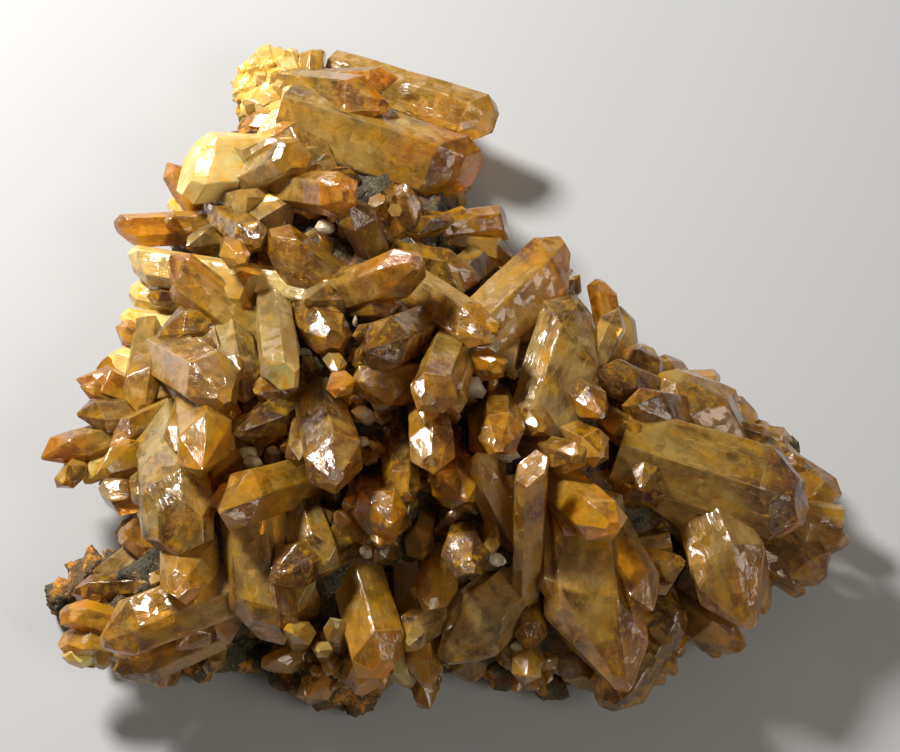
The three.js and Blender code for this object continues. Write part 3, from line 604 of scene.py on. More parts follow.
# Crystals as one mesh: their grids stood on their frames, with colour, cloudiness and their own
# coordinates, which the material reads.
def crystalPiece(name, tip, emerges, traits, grid):
    root = emerges - unit(tip - emerges) * traits["buried"][:, None]
    traits["length"] = np.linalg.norm(tip - root, axis=1)
    local = crystalGrids(traits, grid)
    points = root[:, None, None] + np.einsum("nrci,nij->nrcj", local, crystalFrames(tip, root))
    along = np.clip(local[..., 2] / traits["length"][:, None, None], 0, 1)
    colour, cloud = crystalColours(local, along, traits, grid)
    etched = np.clip((faceNumber(traits, grid, 290) - 1 + inner["etched"]) * 6, 0, 1)
    stained = np.broadcast_to(tintStain[traits["tint"]][:, None, None], etched.shape)
    own = (local + traits["seed"][:, None, None, None] * inner["ownStep"]) * millimetre
    values = {"tint": colour, "cloud": cloud, "etched": etched, "stained": stained, "own": own}
    return gridPiece(name, points, values, 24, growth["lowest"])


# Tips, roots and traits of the large crystals, for what grows beside them.
sides = []


# The crystals of the tables: their tips stand on the crust's height plus their lift, their roots on it
# plus a share of theirs, and the roots dive deeper over the heart.
def tableCrystals(name, rows):
    numbers = np.array([row[:10] for row in rows], float)
    tipX, tipY, tipLift, rootX, rootY, rootLift, width, flat, roll, blunt = numbers.T
    tip = placed(tipX, tipY, crustHeight(tipX, tipY) + tipLift)
    depth = growth["dive"] * (1 - spread(rootX, rootY) ** 2)
    emerges = placed(rootX, rootY, crustHeight(rootX, rootY) + rootLift * growth["rootShare"] - depth)
    traits = {
        "width": width, "flat": flat, "roll": roll, "blunt": blunt, "seed": tipX * 3.1 + tipY * 1.7,
        "buried": np.full(len(width), growth["buried"], float),
        "tint": tintNumbers([row[10] for row in rows]),
    }
    sides.append((tip, emerges, traits))
    return crystalPiece(name, tip, emerges, traits, largeGrid)


# Smaller crystals grown on the flanks and backs of the large ones, nearly parallel to them and ending
# lower. Out, back, width and splay are shares of the large one's width, and the turns are half circles
# from its front.
parallel = {
    "each": 3, "leastWidth": 9.5, "out": (0.24, 0.44), "rootOut": 0.8, "back": (0.2, 1.7),
    "width": (0.32, 0.58), "splay": 0.5, "turns": (0.38, 1.62), "blunt": 0.12,
}


def parallelCrystals():
    tips, roots, parts = [], [], []
    for tip, emerges, traits in sides:
        wide = np.repeat(np.flatnonzero(traits["width"] >= parallel["leastWidth"]), parallel["each"])
        host = {key: values[wide] for key, values in traits.items()}
        nth = np.arange(len(wide)) % parallel["each"]
        seed = host["seed"] + 7.3 * nth + 1.9
        turn = np.pi * within(parallel["turns"], (nth + chance(seed, 101)) / parallel["each"])
        out = heading(host["width"] * within(parallel["out"], chance(seed, 102)), turn)
        out[:, 0] *= host["flat"]
        push = np.einsum("ni,nij->nj", out, crystalFrames(tip, emerges)[wide, :2])
        back = host["width"] * within(parallel["back"], chance(seed, 103))
        splay = scatter(seed) * parallel["splay"] * host["width"][:, None]
        tips.append(tip[wide] + push - unit(tip - emerges)[wide] * back[:, None] + splay)
        roots.append(emerges[wide] + push * parallel["rootOut"])
        width = host["width"] * within(parallel["width"], chance(seed, 104))
        parts.append({**host, "width": width, "blunt": parallel["blunt"] * chance(seed, 105), "seed": seed})
    tips, roots = np.concatenate(tips), np.concatenate(roots)
    joined = {key: np.concatenate([part[key] for part in parts]) for key in parts[0]}
    return crystalPiece("parallel_crystals", tips, roots, joined, mediumGrid)


rimMiddle = placed(heart[0], heart[1], 0.0)
rimPoints = placed(outline[:, 0], outline[:, 1], float(crust["rim"]))


# Places along a ring of points, straight between them. The ring is read backwards, because the outline
# is listed clockwise.
def alongRing(ring, nth):
    low = np.floor(nth).astype(int)
    part = (nth - low)[..., None]
    return ring[(-low) % len(ring)] * (1 - part) + ring[(-low - 1) % len(ring)] * part


# Points at a height and at shares of the way from the upright line through the heart to the rim.
def beside(nth, share, height):
    points = rimMiddle + (alongRing(rimPoints, nth) - rimMiddle) * np.asarray(share)[..., None]
    points[..., 2] = height
    return points


# Level directions away from that line.
def outwards(points):
    away = points - rimMiddle
    away[..., 2] = 0
    return unit(away + 1e-6)


# Two tiers of crystals that stand out sideways all round, as the solids have them.
skirt = {
    "tiers": [
        {"count": 18, "reach": 1, "lift": 7, "wide": 10},
        {"count": 13, "reach": 0.93, "lift": 19, "wide": 12},
    ],
    "width": (0.75, 1.25), "flat": 0.85, "roll": 25.0, "blunt": 0.35,
    "inOut": 0.05, "upDown": 5, "rootIn": 0.28, "rootUp": 9,
    "tints": ["honey", "brown", "tan", "amber", "smoky", "pink", "grey"],
}


def skirtCrystals():
    tips, roots, widths, seeds = [], [], [], []
    for number, tier in enumerate(skirt["tiers"]):
        i = np.arange(tier["count"])
        seed = 100.0 * number + i
        spoke = np.floor((i + 0.5 * chance(seed, 60)) * len(outline) / tier["count"])
        out = tier["reach"] - skirt["inOut"] * chance(seed, 62)
        tips.append(beside(spoke, out, tier["lift"] + skirt["upDown"] * chance(seed, 63)))
        lift = tier["lift"] + skirt["rootUp"] + skirt["upDown"] * chance(seed, 64)
        roots.append(beside(spoke, tier["reach"] - skirt["rootIn"], lift))
        widths.append(tier["wide"] * within(skirt["width"], chance(seed, 61)))
        seeds.append(seed)
    tips, roots, seed = np.concatenate(tips), np.concatenate(roots), np.concatenate(seeds)
    even = np.ones(len(seed))
    traits = {
        "width": np.concatenate(widths), "flat": even * skirt["flat"], "roll": even * skirt["roll"],
        "blunt": even * skirt["blunt"], "seed": seed, "buried": even * growth["buried"],
        "tint": pickTints(skirt["tints"], chance(seed, 66)),
    }
    sides.append((tips, roots, traits))
    return crystalPiece("skirt_crystals", tips, roots, traits, largeGrid)


# Smaller crystals crowded in every gap, in two sizes. Their roots lie on a spiral over the crust, and
# they lean outwards the more the nearer they are to the rim.
crowds = {
    "medium_crystals": {
        "count": 420, "width": (5.0, 9.5), "length": (8.0, 15.0), "buried": 5.0, "seed": 1700.0,
        "tints": ["honey", "brown", "amber", "tan", "smoky", "grey", "glow", "honey", "brown", "pink"],
        "start": 1.0, "gapShare": 0.9, "grid": mediumGrid,
    },
    "small_crystals": {
        "count": 1100, "width": (2.4, 5.4), "length": (4.0, 9.0), "buried": 3.0, "seed": 900.0,
        "tints": ["amber", "honey", "brown", "smoky", "grey", "orange", "tan", "frost", "glow", "brown"],
        "start": 0.0, "gapShare": 0.4, "grid": smallGrid,
    },
}
# How they stand: the most of the way out, depth of the roots, outward part at the heart and at the rim.
leaning = {"most": 0.97, "sunk": 1.5, "outward": (0.15, 1.25), "upward": (0, 0, 0.9), "scatter": 1.3}
# Form of the small crystals: short and narrow ones are the more frequent, and most have sharp ends.
habit = {
    "flat": (0.75, 1.0), "roll": 60, "sharpShare": 0.8, "sharp": 0.03, "blunt": 0.12,
    "shortness": 1.5, "narrowness": 1.6,
}
# Room round each large crystal: share of its width, share of the small one's, depth behind its axis.
berth = {"across": 0.52, "own": 0.3, "behind": 0.4}


# Whether small crystals would stand clear of the large ones, neither inside one nor on its face as seen
# from the eye: the nearest place on each large crystal's axis is found in the eye's view.
def clearOf(points, width):
    clear = np.ones(len(points), bool)
    view = np.stack([sheetRight, sheetUp, toEye], 1)
    seen = points @ view
    for tip, emerges, traits in sides:
        a, b = emerges @ view, tip @ view
        run = (b - a)[:, :2]
        part = ((seen[:, None, :2] - a[None, :, :2]) * run[None]).sum(-1) / (run**2).sum(-1)
        part = np.clip(part, 0, 1)[..., None]
        away = seen[:, None] - (a[None] + part * (b - a)[None])
        room = berth["across"] * traits["width"][None] + berth["own"] * width[:, None]
        near = np.hypot(away[..., 0], away[..., 1]) < room
        clear &= ~(near & (away[..., 2] > -berth["behind"] * traits["width"][None])).any(1)
    return clear


def crowdWidth(values, seed):
    return within(values["width"], chance(seed, 86) ** habit["narrowness"])


def crowdPiece(name, values, tip, base, seed):
    traits = {
        "width": crowdWidth(values, seed), "flat": within(habit["flat"], chance(seed, 87)),
        "roll": habit["roll"] * chance(seed, 88), "seed": seed,
        "blunt": np.where(
            chance(seed, 89) < habit["sharpShare"], habit["sharp"], habit["blunt"] * chance(seed, 90)
        ),
        "buried": np.full(len(seed), values["buried"]),
        "tint": pickTints(values["tints"], chance(seed, 85)),
    }
    return crystalPiece(name, tip, base, traits, values["grid"])


def crowdCrystals(name):
    values = crowds[name]
    seed = values["seed"] + np.arange(values["count"], dtype=float)
    x, y, share = spiralOverCrust(values["count"], leaning["most"], start=values["start"])
    base = placed(x, y, crustHeight(x, y) - leaning["sunk"])
    lean = within(leaning["outward"], share**2)[:, None]
    way = unit(outwards(base) * lean + leaning["upward"] + scatter(seed) * leaning["scatter"])
    tip = base + way * within(values["length"], chance(seed, 84) ** habit["shortness"])[:, None]
    far = np.hypot(x[:, None] - gaps[:, 0], y[:, None] - gaps[:, 1]) > values["gapShare"] * gaps[:, 2]
    kept = far.all(1) & clearOf(tip, crowdWidth(values, seed))
    return crowdPiece(name, values, tip[kept], base[kept], seed[kept])


# The same on the steep side under the rim, where they stand back above a height. The step is the golden
# share of the way round.
side = {
    "count": 240, "heights": (5.0, 21.0), "seed": 2600.0, "step": 0.61803399, "reach": 0.93,
    "backFrom": 12, "back": 0.004, "upward": (0, 0, 0.25), "scatter": 1.2, "length": (4, 9),
}


def sideCrystals():
    i = np.arange(side["count"], dtype=float)
    seed = side["seed"] + i
    height = within(side["heights"], chance(seed, 91))
    share = side["reach"] - side["back"] * np.maximum(0, height - side["backFrom"])
    base = beside((i * side["step"] % 1) * len(outline), share, height)
    way = unit(outwards(base) + side["upward"] + scatter(seed) * side["scatter"])
    tip = base + way * within(side["length"], chance(seed, 84))[:, None]
    kept = clearOf(tip, crowdWidth(crowds["small_crystals"], seed))
    return crowdPiece("side_crystals", crowds["small_crystals"], tip[kept], base[kept], seed[kept])


# Crumbly growths of tiny crystals on a spiral within an oval, which bulges over the crust.
crumbs = {
    "crown_crumbs": {
        "count": 70, "middle": (69.5, 22.5), "reach": (9, 8.5), "rise": -1.0, "bulge": 6.0,
        "width": (4.0, 9.0), "length": (0.4, 3.4), "buried": 5.0, "seed": 4100.0, "over": True,
        "tints": ["yellow", "cream", "tan", "cream", "yellow", "amber", "orange", "frost"],
    },
    "heel_crumbs": {
        "count": 140, "middle": (29, 146), "reach": (16, 8), "rise": -5.0, "bulge": 3.5,
        "width": (2.6, 6.5), "length": (1.0, 4.5), "buried": 3.0, "seed": 4500.0, "over": False,
        "tints": ["honey", "brown", "amber", "tan", "smoky", "honey", "orange"],
    },
    "toe_crumbs": {
        "count": 130, "middle": (85, 166), "reach": (16, 7), "rise": -5.0, "bulge": 4.0,
        "width": (2.2, 5.4), "length": (1.0, 4.0), "buried": 3.0, "seed": 4700.0, "over": False,
        "tints": ["yellow", "amber", "frost", "tan", "honey", "grey", "orange"],
    },
    "foot_crumbs": {
        "count": 170, "middle": (122, 168), "reach": (28, 7), "rise": -5.0, "bulge": 3.0,
        "width": (2.6, 6.6), "length": (1.5, 5.0), "buried": 3.0, "seed": 4900.0, "over": False,
        "tints": ["honey", "brown", "tan", "pink", "smoky", "amber"],
    },
}
# Their common way, its scatter, and the most of the way out that they reach.
crumbling = {"way": (-0.1, 0.0, 0.7), "scatter": 1.8, "mostSpread": 0.96}


# Crumbs keep clear of the large crystals and inside the rim, unless they grow over them.
def crumbCrystals(name):
    values = {**crumbs[name], "grid": smallGrid}
    seed = values["seed"] + np.arange(values["count"], dtype=float)
    across, down, share = spiral(values["count"])
    x = values["middle"][0] + values["reach"][0] * share * across
    y = values["middle"][1] + values["reach"][1] * share * down
    base = placed(x, y, crustHeight(x, y) + values["rise"] + values["bulge"] * (1 - share**2))
    way = unit(crumbling["way"] + scatter(seed) * crumbling["scatter"])
    tip = base + way * within(values["length"], chance(seed, 84))[:, None]
    kept = clearOf(tip, crowdWidth(values, seed)) & (spread(x, y) < crumbling["mostSpread"])
    kept = kept | values["over"]
    return crowdPiece(name, values, tip[kept], base[kept], seed[kept])


# Balls of radius one on a grid of turn and height, with a small flat end at each pole.
def roundGrid(count, rowCount, columnCount):
    pole = 0.06
    climb = np.linspace(pole, np.pi - pole, rowCount)[::-1, None]
    way = np.linspace(0, 2 * np.pi, columnCount, endpoint=False)
    ball = np.stack([np.sin(climb) * np.cos(way), np.sin(climb) * np.sin(way), np.cos(climb) + 0 * way], -1)
    return np.broadcast_to(ball, (count, rowCount, columnCount, 3))


# Bare rock that stands out between the crystals and at the rim, and the pale mass under the crumbs of
# the crown: sheet place, height, size. Each lump is a ball pushed in and out by layered noise, half of
# it rounded off to steps so that it breaks into small faces.
lumps = {
    "rock_lumps": {
        "places": [
            (23, 144, 10, 12), (31, 142, 11, 10), (18, 150, 8, 10), (38, 146, 11, 9), (56, 161, 10, 12),
            (50, 165, 6, 9), (63, 165, 6, 8), (76, 167, 9, 13), (82, 171.5, 8, 11), (89, 174, 6, 9),
            (72, 163, 10, 8), (62, 35, 24, 8), (196, 115, 14, 10), (102, 134, 18, 12), (126, 168, 7, 9),
            (138, 170, 6, 8),
        ],
        "rough": 0.42, "scale": 0.26, "seed": 61.0, "tint": None,
    },
    "crown_mass": {
        "places": [
            (66, 18, 17, 10), (73, 17.5, 17, 9), (63.5, 23, 17, 10), (70, 22, 18, 13), (76, 19.5, 18, 9),
            (68, 27, 18, 10),
        ],
        "rough": 0.26, "scale": 0.5, "seed": 77.0, "tint": "yellow", "warm": (1.0, 0.575, 0.048),
    },
}
lumpForm = {
    "rows": 24, "columns": 32, "girths": ((1, 1.4), (0.8, 1.2), (0.6, 0.9)), "steps": 4,
    "warmScale": 0.35, "cloud": 0.8,
}


def lumpPiece(name):
    values = lumps[name]
    x, y, height, size = np.array(values["places"], float).T
    seed = values["seed"] + np.arange(len(x))
    ball = roundGrid(len(x), lumpForm["rows"], lumpForm["columns"]) * size[:, None, None, None] / 2
    points = ball * girths(seed, 1, lumpForm["girths"])[:, None, None]
    swell = roughness(points * values["scale"] + seed[:, None, None, None] * 5, 81, 5)
    swell = 1 + values["rough"] * stepped(swell, lumpForm["steps"], 0.5)
    points = points * swell[..., None] + placed(x, y, height)[:, None, None]
    attributes = {}
    if values["tint"]:
        kind = tintNames.index(values["tint"])
        warm = np.clip(0.4 + roughness(points * lumpForm["warmScale"], 91, 3), 0, 1)[..., None]
        colour = tintRoot[kind] * (1 - warm) + np.array(values["warm"]) * warm
        even = np.ones_like(warm)
        attributes = {
            "tint": np.concatenate([colour, even], -1), "cloud": even * lumpForm["cloud"],
            "etched": even, "stained": even * tintStain[kind], "own": points * millimetre,
        }
    return gridPiece(name, points, attributes, 34, growth["lowest"])


# Pale rounded grains in the gaps. Each place has its place on the sheet, how many and their size; more
# are strewn over the crust.
pebbles = {
    "places": [
        (79, 58, 4, 5.8), (91, 103, 5, 8.5), (118, 100, 6, 7.5), (82.5, 138, 6, 5.6), (98, 141, 4, 5.6),
        (127.5, 116, 2, 6.2), (126, 141, 5, 6.2), (127, 149, 4, 6.6), (124, 139, 3, 4.2),
        (111, 130, 5, 5.0), (75, 146, 3, 4.6), (70, 112, 3, 4.2), (160, 129, 3, 3.8), (87, 68, 3, 3.4),
        (109, 110, 3, 3.6), (104, 140, 3, 3.6), (63, 114, 3, 3.2), (132, 155, 3, 3.8), (85, 155, 3, 4.6),
        (88, 60, 2, 3.4), (78, 134, 3, 4.8), (93, 137, 3, 4.6), (115, 130, 3, 5.2), (84, 84, 2, 3.4),
        (136, 122, 2, 3.2), (80, 166, 4, 3.6), (104, 169, 4, 3.4), (121, 166, 5, 3.8), (129, 160, 4, 4.2),
    ],
    "sizes": (0.6, 1.3), "around": 2.6, "lift": (4, 9), "step": 1.5, "steps": 12, "seed": 5200.0,
    "strewn": 80, "strewnTurn": 2.39996, "strewnMost": 0.95, "strewnSize": (1.4, 3.2),
    "strewnLift": (0.5, 4.5), "rows": 7, "columns": 10, "girths": ((1, 1.3), (0.8, 1.1), (0.4, 0.75)),
    "bumps": 0.3, "colour": (0.84, 0.74, 0.50, 1), "paleness": (0.6, 1.0),
}


# Grains about the places and strewn over the crust on a spiral. Each is a ball pushed in and out by slow
# noise, flattened to a lens and tipped over at random. A grain at a place that would lie inside or under
# a large crystal comes towards the eye in steps until it rests on it; what is still not clear is left
# out.
def pebblePiece():
    rows = np.array(pebbles["places"], float)
    rows = np.repeat(rows, rows[:, 2].astype(int), axis=0)
    seed = pebbles["seed"] + np.arange(len(rows), dtype=float)
    size = rows[:, 3] * within(pebbles["sizes"], chance(seed, 1))
    x = rows[:, 0] + pebbles["around"] * (chance(seed, 2) - 0.5) * size / 2
    y = rows[:, 1] + pebbles["around"] * (chance(seed, 3) - 0.5) * size / 2
    lift = within(pebbles["lift"], chance(seed, 4))
    strewnX, strewnY, share = spiralOverCrust(
        pebbles["strewn"], pebbles["strewnMost"], turn=pebbles["strewnTurn"]
    )
    strewnSeed = pebbles["seed"] + 300 + np.arange(len(share), dtype=float)
    x, y = np.concatenate([x, strewnX]), np.concatenate([y, strewnY])
    size = np.concatenate([size, within(pebbles["strewnSize"], chance(strewnSeed, 1))])
    lift = np.concatenate([lift, within(pebbles["strewnLift"], chance(strewnSeed, 4))])
    seed = np.concatenate([seed, strewnSeed])
    centre = placed(x, y, crustHeight(x, y) + lift)
    atPlace = np.arange(len(size)) < len(rows)
    for _ in range(pebbles["steps"]):
        centre = centre + toEye * (pebbles["step"] * (~clearOf(centre, size) & atPlace))[:, None]
    kept = clearOf(centre, size)
    centre, size, seed = centre[kept], size[kept], seed[kept]
    ball = roundGrid(len(seed), pebbles["rows"], pebbles["columns"])
    points = ball * girths(seed, 5, pebbles["girths"])[:, None, None]
    bumps = 1 + pebbles["bumps"] * latticeNoise(points * 1.8 + seed[:, None, None, None], 8)
    upright = unit(np.array([0, -0.35, 0.6]) + scatter(seed) * 1.2)
    across = unit(np.cross(upright, np.array([0.3, 1.0, 0.1])))
    tipped = np.stack([across, np.cross(upright, across), upright], 1)
    points = np.einsum("nrci,nij->nrcj", points * bumps[..., None], tipped)
    points = points * size[:, None, None, None] / 2 + centre[:, None, None]
    colour = np.tile(np.array(pebbles["colour"]), (len(seed), 1))
    colour[:, :3] *= within(pebbles["paleness"], chance(seed, 9))[:, None]
    colour = np.broadcast_to(colour[:, None, None], points.shape[:3] + (4,))
    return gridPiece("pale_pebbles", points, {"tint": colour}, 40, growth["lowest"])


# The crust between the crystals, a dome on a grid of turn and share, rough in four layers, with a brow
# of shares and heights that closes it inside the rock.
crustGrid = {
    "turns": 300, "shares": 90, "most": 0.86, "sunk": 2.2, "lowest": 2.1,
    "rough": 2.6, "scale": 0.22, "roughSideways": 1.3, "scaleSideways": 0.3,
    "brow": ((0.9, 4.5), (0.93, 8), (0.935, 12), (0.92, 15)),
}


def crustPiece():
    nth = np.linspace(0, len(outline), crustGrid["turns"], endpoint=False)
    share = np.linspace(1, 0.02, crustGrid["shares"])[:, None, None] * crustGrid["most"]
    x, y = np.moveaxis(heart + (alongRing(outline, nth) - heart) * share, -1, 0)
    top = placed(x, y, crustHeight(x, y) - crustGrid["sunk"])
    brow = np.stack([beside(nth, share, height) for share, height in crustGrid["brow"]])
    points = np.concatenate([brow, top])
    points[..., 2] += crustGrid["rough"] * roughness(points * crustGrid["scale"], 21)
    sideways = crustGrid["roughSideways"] * roughness(points * crustGrid["scaleSideways"], 31)
    points = points + outwards(points) * sideways[..., None]
    return gridPiece("crust", points[None], {}, 60, crustGrid["lowest"])


# The rock: a flat underside, a rough side that bulges and breaks back, and a dome under the crust, given
# as shares of the way out and heights.
rockGrid = {
    "turns": 420, "rough": 1.9, "scale": 0.16, "fullFrom": 1.5, "lowest": 0.15,
    "profile": np.array([
        (0.3, 0), (0.6, 0), (0.8, 0), (0.845, 0), (0.865, 0.4), (0.875, 1.4), (0.885, 2.6), (0.895, 3.8),
        (0.905, 5), (0.912, 6.2), (0.915, 7.4), (0.912, 8.6), (0.9, 9.8), (0.8, 12), (0.6, 16), (0.3, 19),
        (0.05, 20),
    ]),
}


def rockPiece():
    nth = np.linspace(0, len(outline), rockGrid["turns"], endpoint=False)
    points = np.stack([beside(nth, share, height) for share, height in rockGrid["profile"]])
    height = rockGrid["profile"][:, 1:]
    bumps = rockGrid["rough"] * roughness(points * rockGrid["scale"], 41, 5)
    bumps = bumps * np.clip(height / rockGrid["fullFrom"], 0, 1)
    points = points + outwards(points) * bumps[..., None]
    points[..., 2] = np.where(height > 0, np.maximum(points[..., 2], rockGrid["lowest"]), 0)
    return gridPiece("rough_rock", points[None], {}, 50, 0)


# A material with an empty node tree, and a short way to add and join its nodes.
def newMaterial(name):
    material = bpy.data.materials.new(name)
    material.use_nodes = True
    material.node_tree.nodes.clear()
    return material, material.node_tree


def addNode(tree, kind, values=None, **options):
    node = tree.nodes.new(kind)
    for option, value in options.items():
        setattr(node, option, value)
    for socket, value in (values or {}).items():
        if isinstance(value, bpy.types.NodeSocket):
            tree.links.new(value, node.inputs[socket])
        else:
            node.inputs[socket].default_value = value
    return node


def readAttribute(tree, name, output="Fac"):
    return addNode(tree, "ShaderNodeAttribute", attribute_name=name).outputs[output]


# Numbers worked out in the shader: one step of arithmetic.
def arithmetic(tree, operation, *numbers):
    return addNode(tree, "ShaderNodeMath", dict(enumerate(numbers)), operation=operation).outputs[0]


def times(tree, first, second):
    return arithmetic(tree, "MULTIPLY", first, second)


# The same for vectors; the second value of a scaling is its number.
def vectorStep(tree, operation, first, second=None):
    values = {0: first}
    if second is not None:
        values[3 if operation == "SCALE" else 1] = second
    return addNode(tree, "ShaderNodeVectorMath", values, operation=operation).outputs[0]


def noise(tree, vector, scale, detail=4, distortion=0.0, rough=0.5):
    return addNode(tree, "ShaderNodeTexNoise", {
        "Vector": vector, "Scale": scale, "Detail": detail, "Distortion": distortion, "Roughness": rough,
    }).outputs["Fac"]


# A smooth step from 0 at low to 1 at high.
def between(tree, value, low, high):
    return addNode(tree, "ShaderNodeMapRange", {
        "Value": value, "From Min": low, "From Max": high, "To Min": 0.0, "To Max": 1.0,
    }, interpolation_type="SMOOTHSTEP").outputs["Result"]


# Two colours blended by an amount, or multiplied.
def blendColours(tree, amount, first, second, way="MIX"):
    values = {0: amount, 6: first, 7: second}
    return addNode(tree, "ShaderNodeMix", values, data_type="RGBA", blend_type=way).outputs[2]


def bump(tree, strength, distance, height, **more):
    return addNode(tree, "ShaderNodeBump", {
        "Strength": strength, "Distance": distance, "Height": height, **more,
    }).outputs["Normal"]


# The shader with its values, joined to the material's output.
def finishMaterial(tree, values):
    shader = addNode(tree, "ShaderNodeBsdfPrincipled", values)
    return addNode(tree, "ShaderNodeOutputMaterial", {"Surface": shader.outputs["BSDF"]})


# Crystal: colours, scales and shares of the layers, the body under its polish, the facets and the fine
# relief on it, and what colours the light on its way through.
crystalLook = {
    # Gold is a painted glint colour, for light caught in cracks inside the crystal.
    "milk": (0.95, 0.65, 0.19, 1), "brown": (0.09, 0.030, 0.003, 1), "painted_glint": (1.0, 0.52, 0.006, 1),
    "veils": 200, "cracks": 480, "dust": 1700, "streaks": 1100, "alongStreaks": (1.0, 1.0, 0.22),
    "shards": 430.0, "shardEdges": (0.0022, -0.0016, 0.002),
    "shard": 0.25, "stain": 0.4, "wisp": 0.5, "spark": 0.8, "streak": 0.6, "speck": 0.3,
    "body": 0.28, "polish": 0.05, "coat": 0.6, "level": 0.2, "ior": 1.54,
    "tilt": 0.32, "relief": 0.6, "reliefHeight": 0.0004,
    "insideColour": (0.95, 0.62, 0.08, 1), "insideDensity": 40.0,
}


# The tint of each point, shards with straight edges where inner faces show through, brown stains, milk
# wisps, painted glints in gold at cracks where light would catch, streaks along the crystal and fine
# specks. The body is cloudy and lets light pass, tinted by its way inside, under polished faces full of
# small steps.
def crystalMaterial(name, seeThrough):
    material, tree = newMaterial(name)
    look = crystalLook
    own, tint = readAttribute(tree, "own", "Vector"), readAttribute(tree, "tint", "Color")
    cloud, etched, stained = (readAttribute(tree, value) for value in ("cloud", "etched", "stained"))
    veils = noise(tree, own, look["veils"], 2, 0.6, 0.65)
    cracks = noise(tree, own, look["cracks"], 2, 0.3, 0.75)
    dust = noise(tree, own, look["dust"], 1, 0.0, 0.8)
    alongOwn = vectorStep(tree, "MULTIPLY", own, look["alongStreaks"])
    streaks = noise(tree, alongOwn, look["streaks"], 2, 0.5, 0.7)
    uneven = vectorStep(tree, "ADD", own, vectorStep(tree, "SCALE", look["shardEdges"], cracks))
    shards = addNode(tree, "ShaderNodeTexVoronoi", {"Vector": uneven, "Scale": look["shards"]})
    shards = shards.outputs["Color"]
    differs = times(tree, arithmetic(tree, "SUBTRACT", shards, 0.5), stained)
    shade = arithmetic(tree, "MULTIPLY_ADD", differs, 2 * look["shard"], 1.0)
    colour = blendColours(tree, 1.0, tint, shade, "MULTIPLY")
    clear = arithmetic(tree, "SUBTRACT", 1.1, cloud)
    milky = arithmetic(tree, "MULTIPLY_ADD", cloud, 0.7, 0.3)
    layers = (
        ("brown", between(tree, veils, 0.47, 0.34), stained, "stain"),
        ("milk", between(tree, veils, 0.53, 0.68), cloud, "wisp"),
        # Painted glints: gold at cracks, where light would catch, most where the crystal is clear.
        ("painted_glint", between(tree, cracks, 0.52, 0.65), clear, "spark"),
        ("milk", between(tree, streaks, 0.52, 0.66), milky, "streak"),
        ("brown", between(tree, dust, 0.44, 0.3), stained, "speck"),
    )
    for colourName, where, much, share in layers:
        amount = times(tree, times(tree, where, much), look[share])
        colour = blendColours(tree, amount, colour, look[colourName])
    relief = times(tree, streaks, arithmetic(tree, "MULTIPLY_ADD", etched, 0.4, 0.35))
    share = arithmetic(tree, "MULTIPLY_ADD", etched, look["tilt"] / 2, look["tilt"] / 2)
    tilt = vectorStep(tree, "SCALE", vectorStep(tree, "SUBTRACT", shards, (0.5, 0.5, 0.5)), share)
    upright = addNode(tree, "ShaderNodeNewGeometry").outputs["Normal"]
    facets = vectorStep(tree, "NORMALIZE", vectorStep(tree, "ADD", upright, tilt))
    normal = bump(tree, look["relief"], look["reliefHeight"], relief, Normal=facets)
    out = finishMaterial(tree, {
        "Base Color": colour, "Roughness": look["body"], "Normal": normal, "IOR": look["ior"],
        "Transmission Weight": seeThrough, "Specular IOR Level": look["level"],
        "Coat Weight": look["coat"], "Coat Roughness": look["polish"], "Coat IOR": look["ior"],
        "Coat Normal": normal,
    })
    inside = addNode(tree, "ShaderNodeVolumeAbsorption", {
        "Color": look["insideColour"], "Density": look["insideDensity"],
    })
    tree.links.new(inside.outputs["Volume"], out.inputs["Volume"])
    return material


# Pale grains: frosted, waxy white quartz with greyer clouds.
pebbleLook = {
    "cloudy": (0.42, 0.38, 0.28, 1), "roughness": 0.28, "ior": 1.54, "seeThrough": 0.45, "relief": 0.4,
}


def pebbleMaterial():
    material, tree = newMaterial("pale_pebble")
    place = addNode(tree, "ShaderNodeTexCoord").outputs["Object"]
    cloudy = between(tree, noise(tree, place, 500, 4, 0.6), 0.35, 0.7)
    colour = readAttribute(tree, "tint", "Color")
    finishMaterial(tree, {
        "Base Color": blendColours(tree, times(tree, cloudy, 0.5), colour, pebbleLook["cloudy"]),
        "Roughness": pebbleLook["roughness"], "IOR": pebbleLook["ior"],
        "Normal": bump(tree, pebbleLook["relief"], 0.0004, noise(tree, place, 1800, 3)),
        "Transmission Weight": pebbleLook["seeThrough"],
    })
    return material


# Rock: dark grey-green, grainy, with brown stains, small bright rust spots and pale grains. Each rock
# has its own dark colour and its own shares of stains and rust.
rockLook = {
    "grain": (0.11, 0.10, 0.055, 1), "brown": (0.19, 0.095, 0.03, 1), "rust": (0.66, 0.28, 0.02, 1),
    "pale": (0.40, 0.33, 0.18, 1), "roughness": 0.75, "relief": 0.9, "reliefHeight": 0.0014,
}
rocks = {
    "crust_rock": {"dark": (0.035, 0.032, 0.02, 1), "stained": 0.52, "rusty": 0.38},
    "host_rock": {"dark": (0.04, 0.044, 0.03, 1), "stained": 0.5, "rusty": 0.42},
    "rim_rock": {"dark": (0.055, 0.053, 0.032, 1), "stained": 0.54, "rusty": 0.5},
}


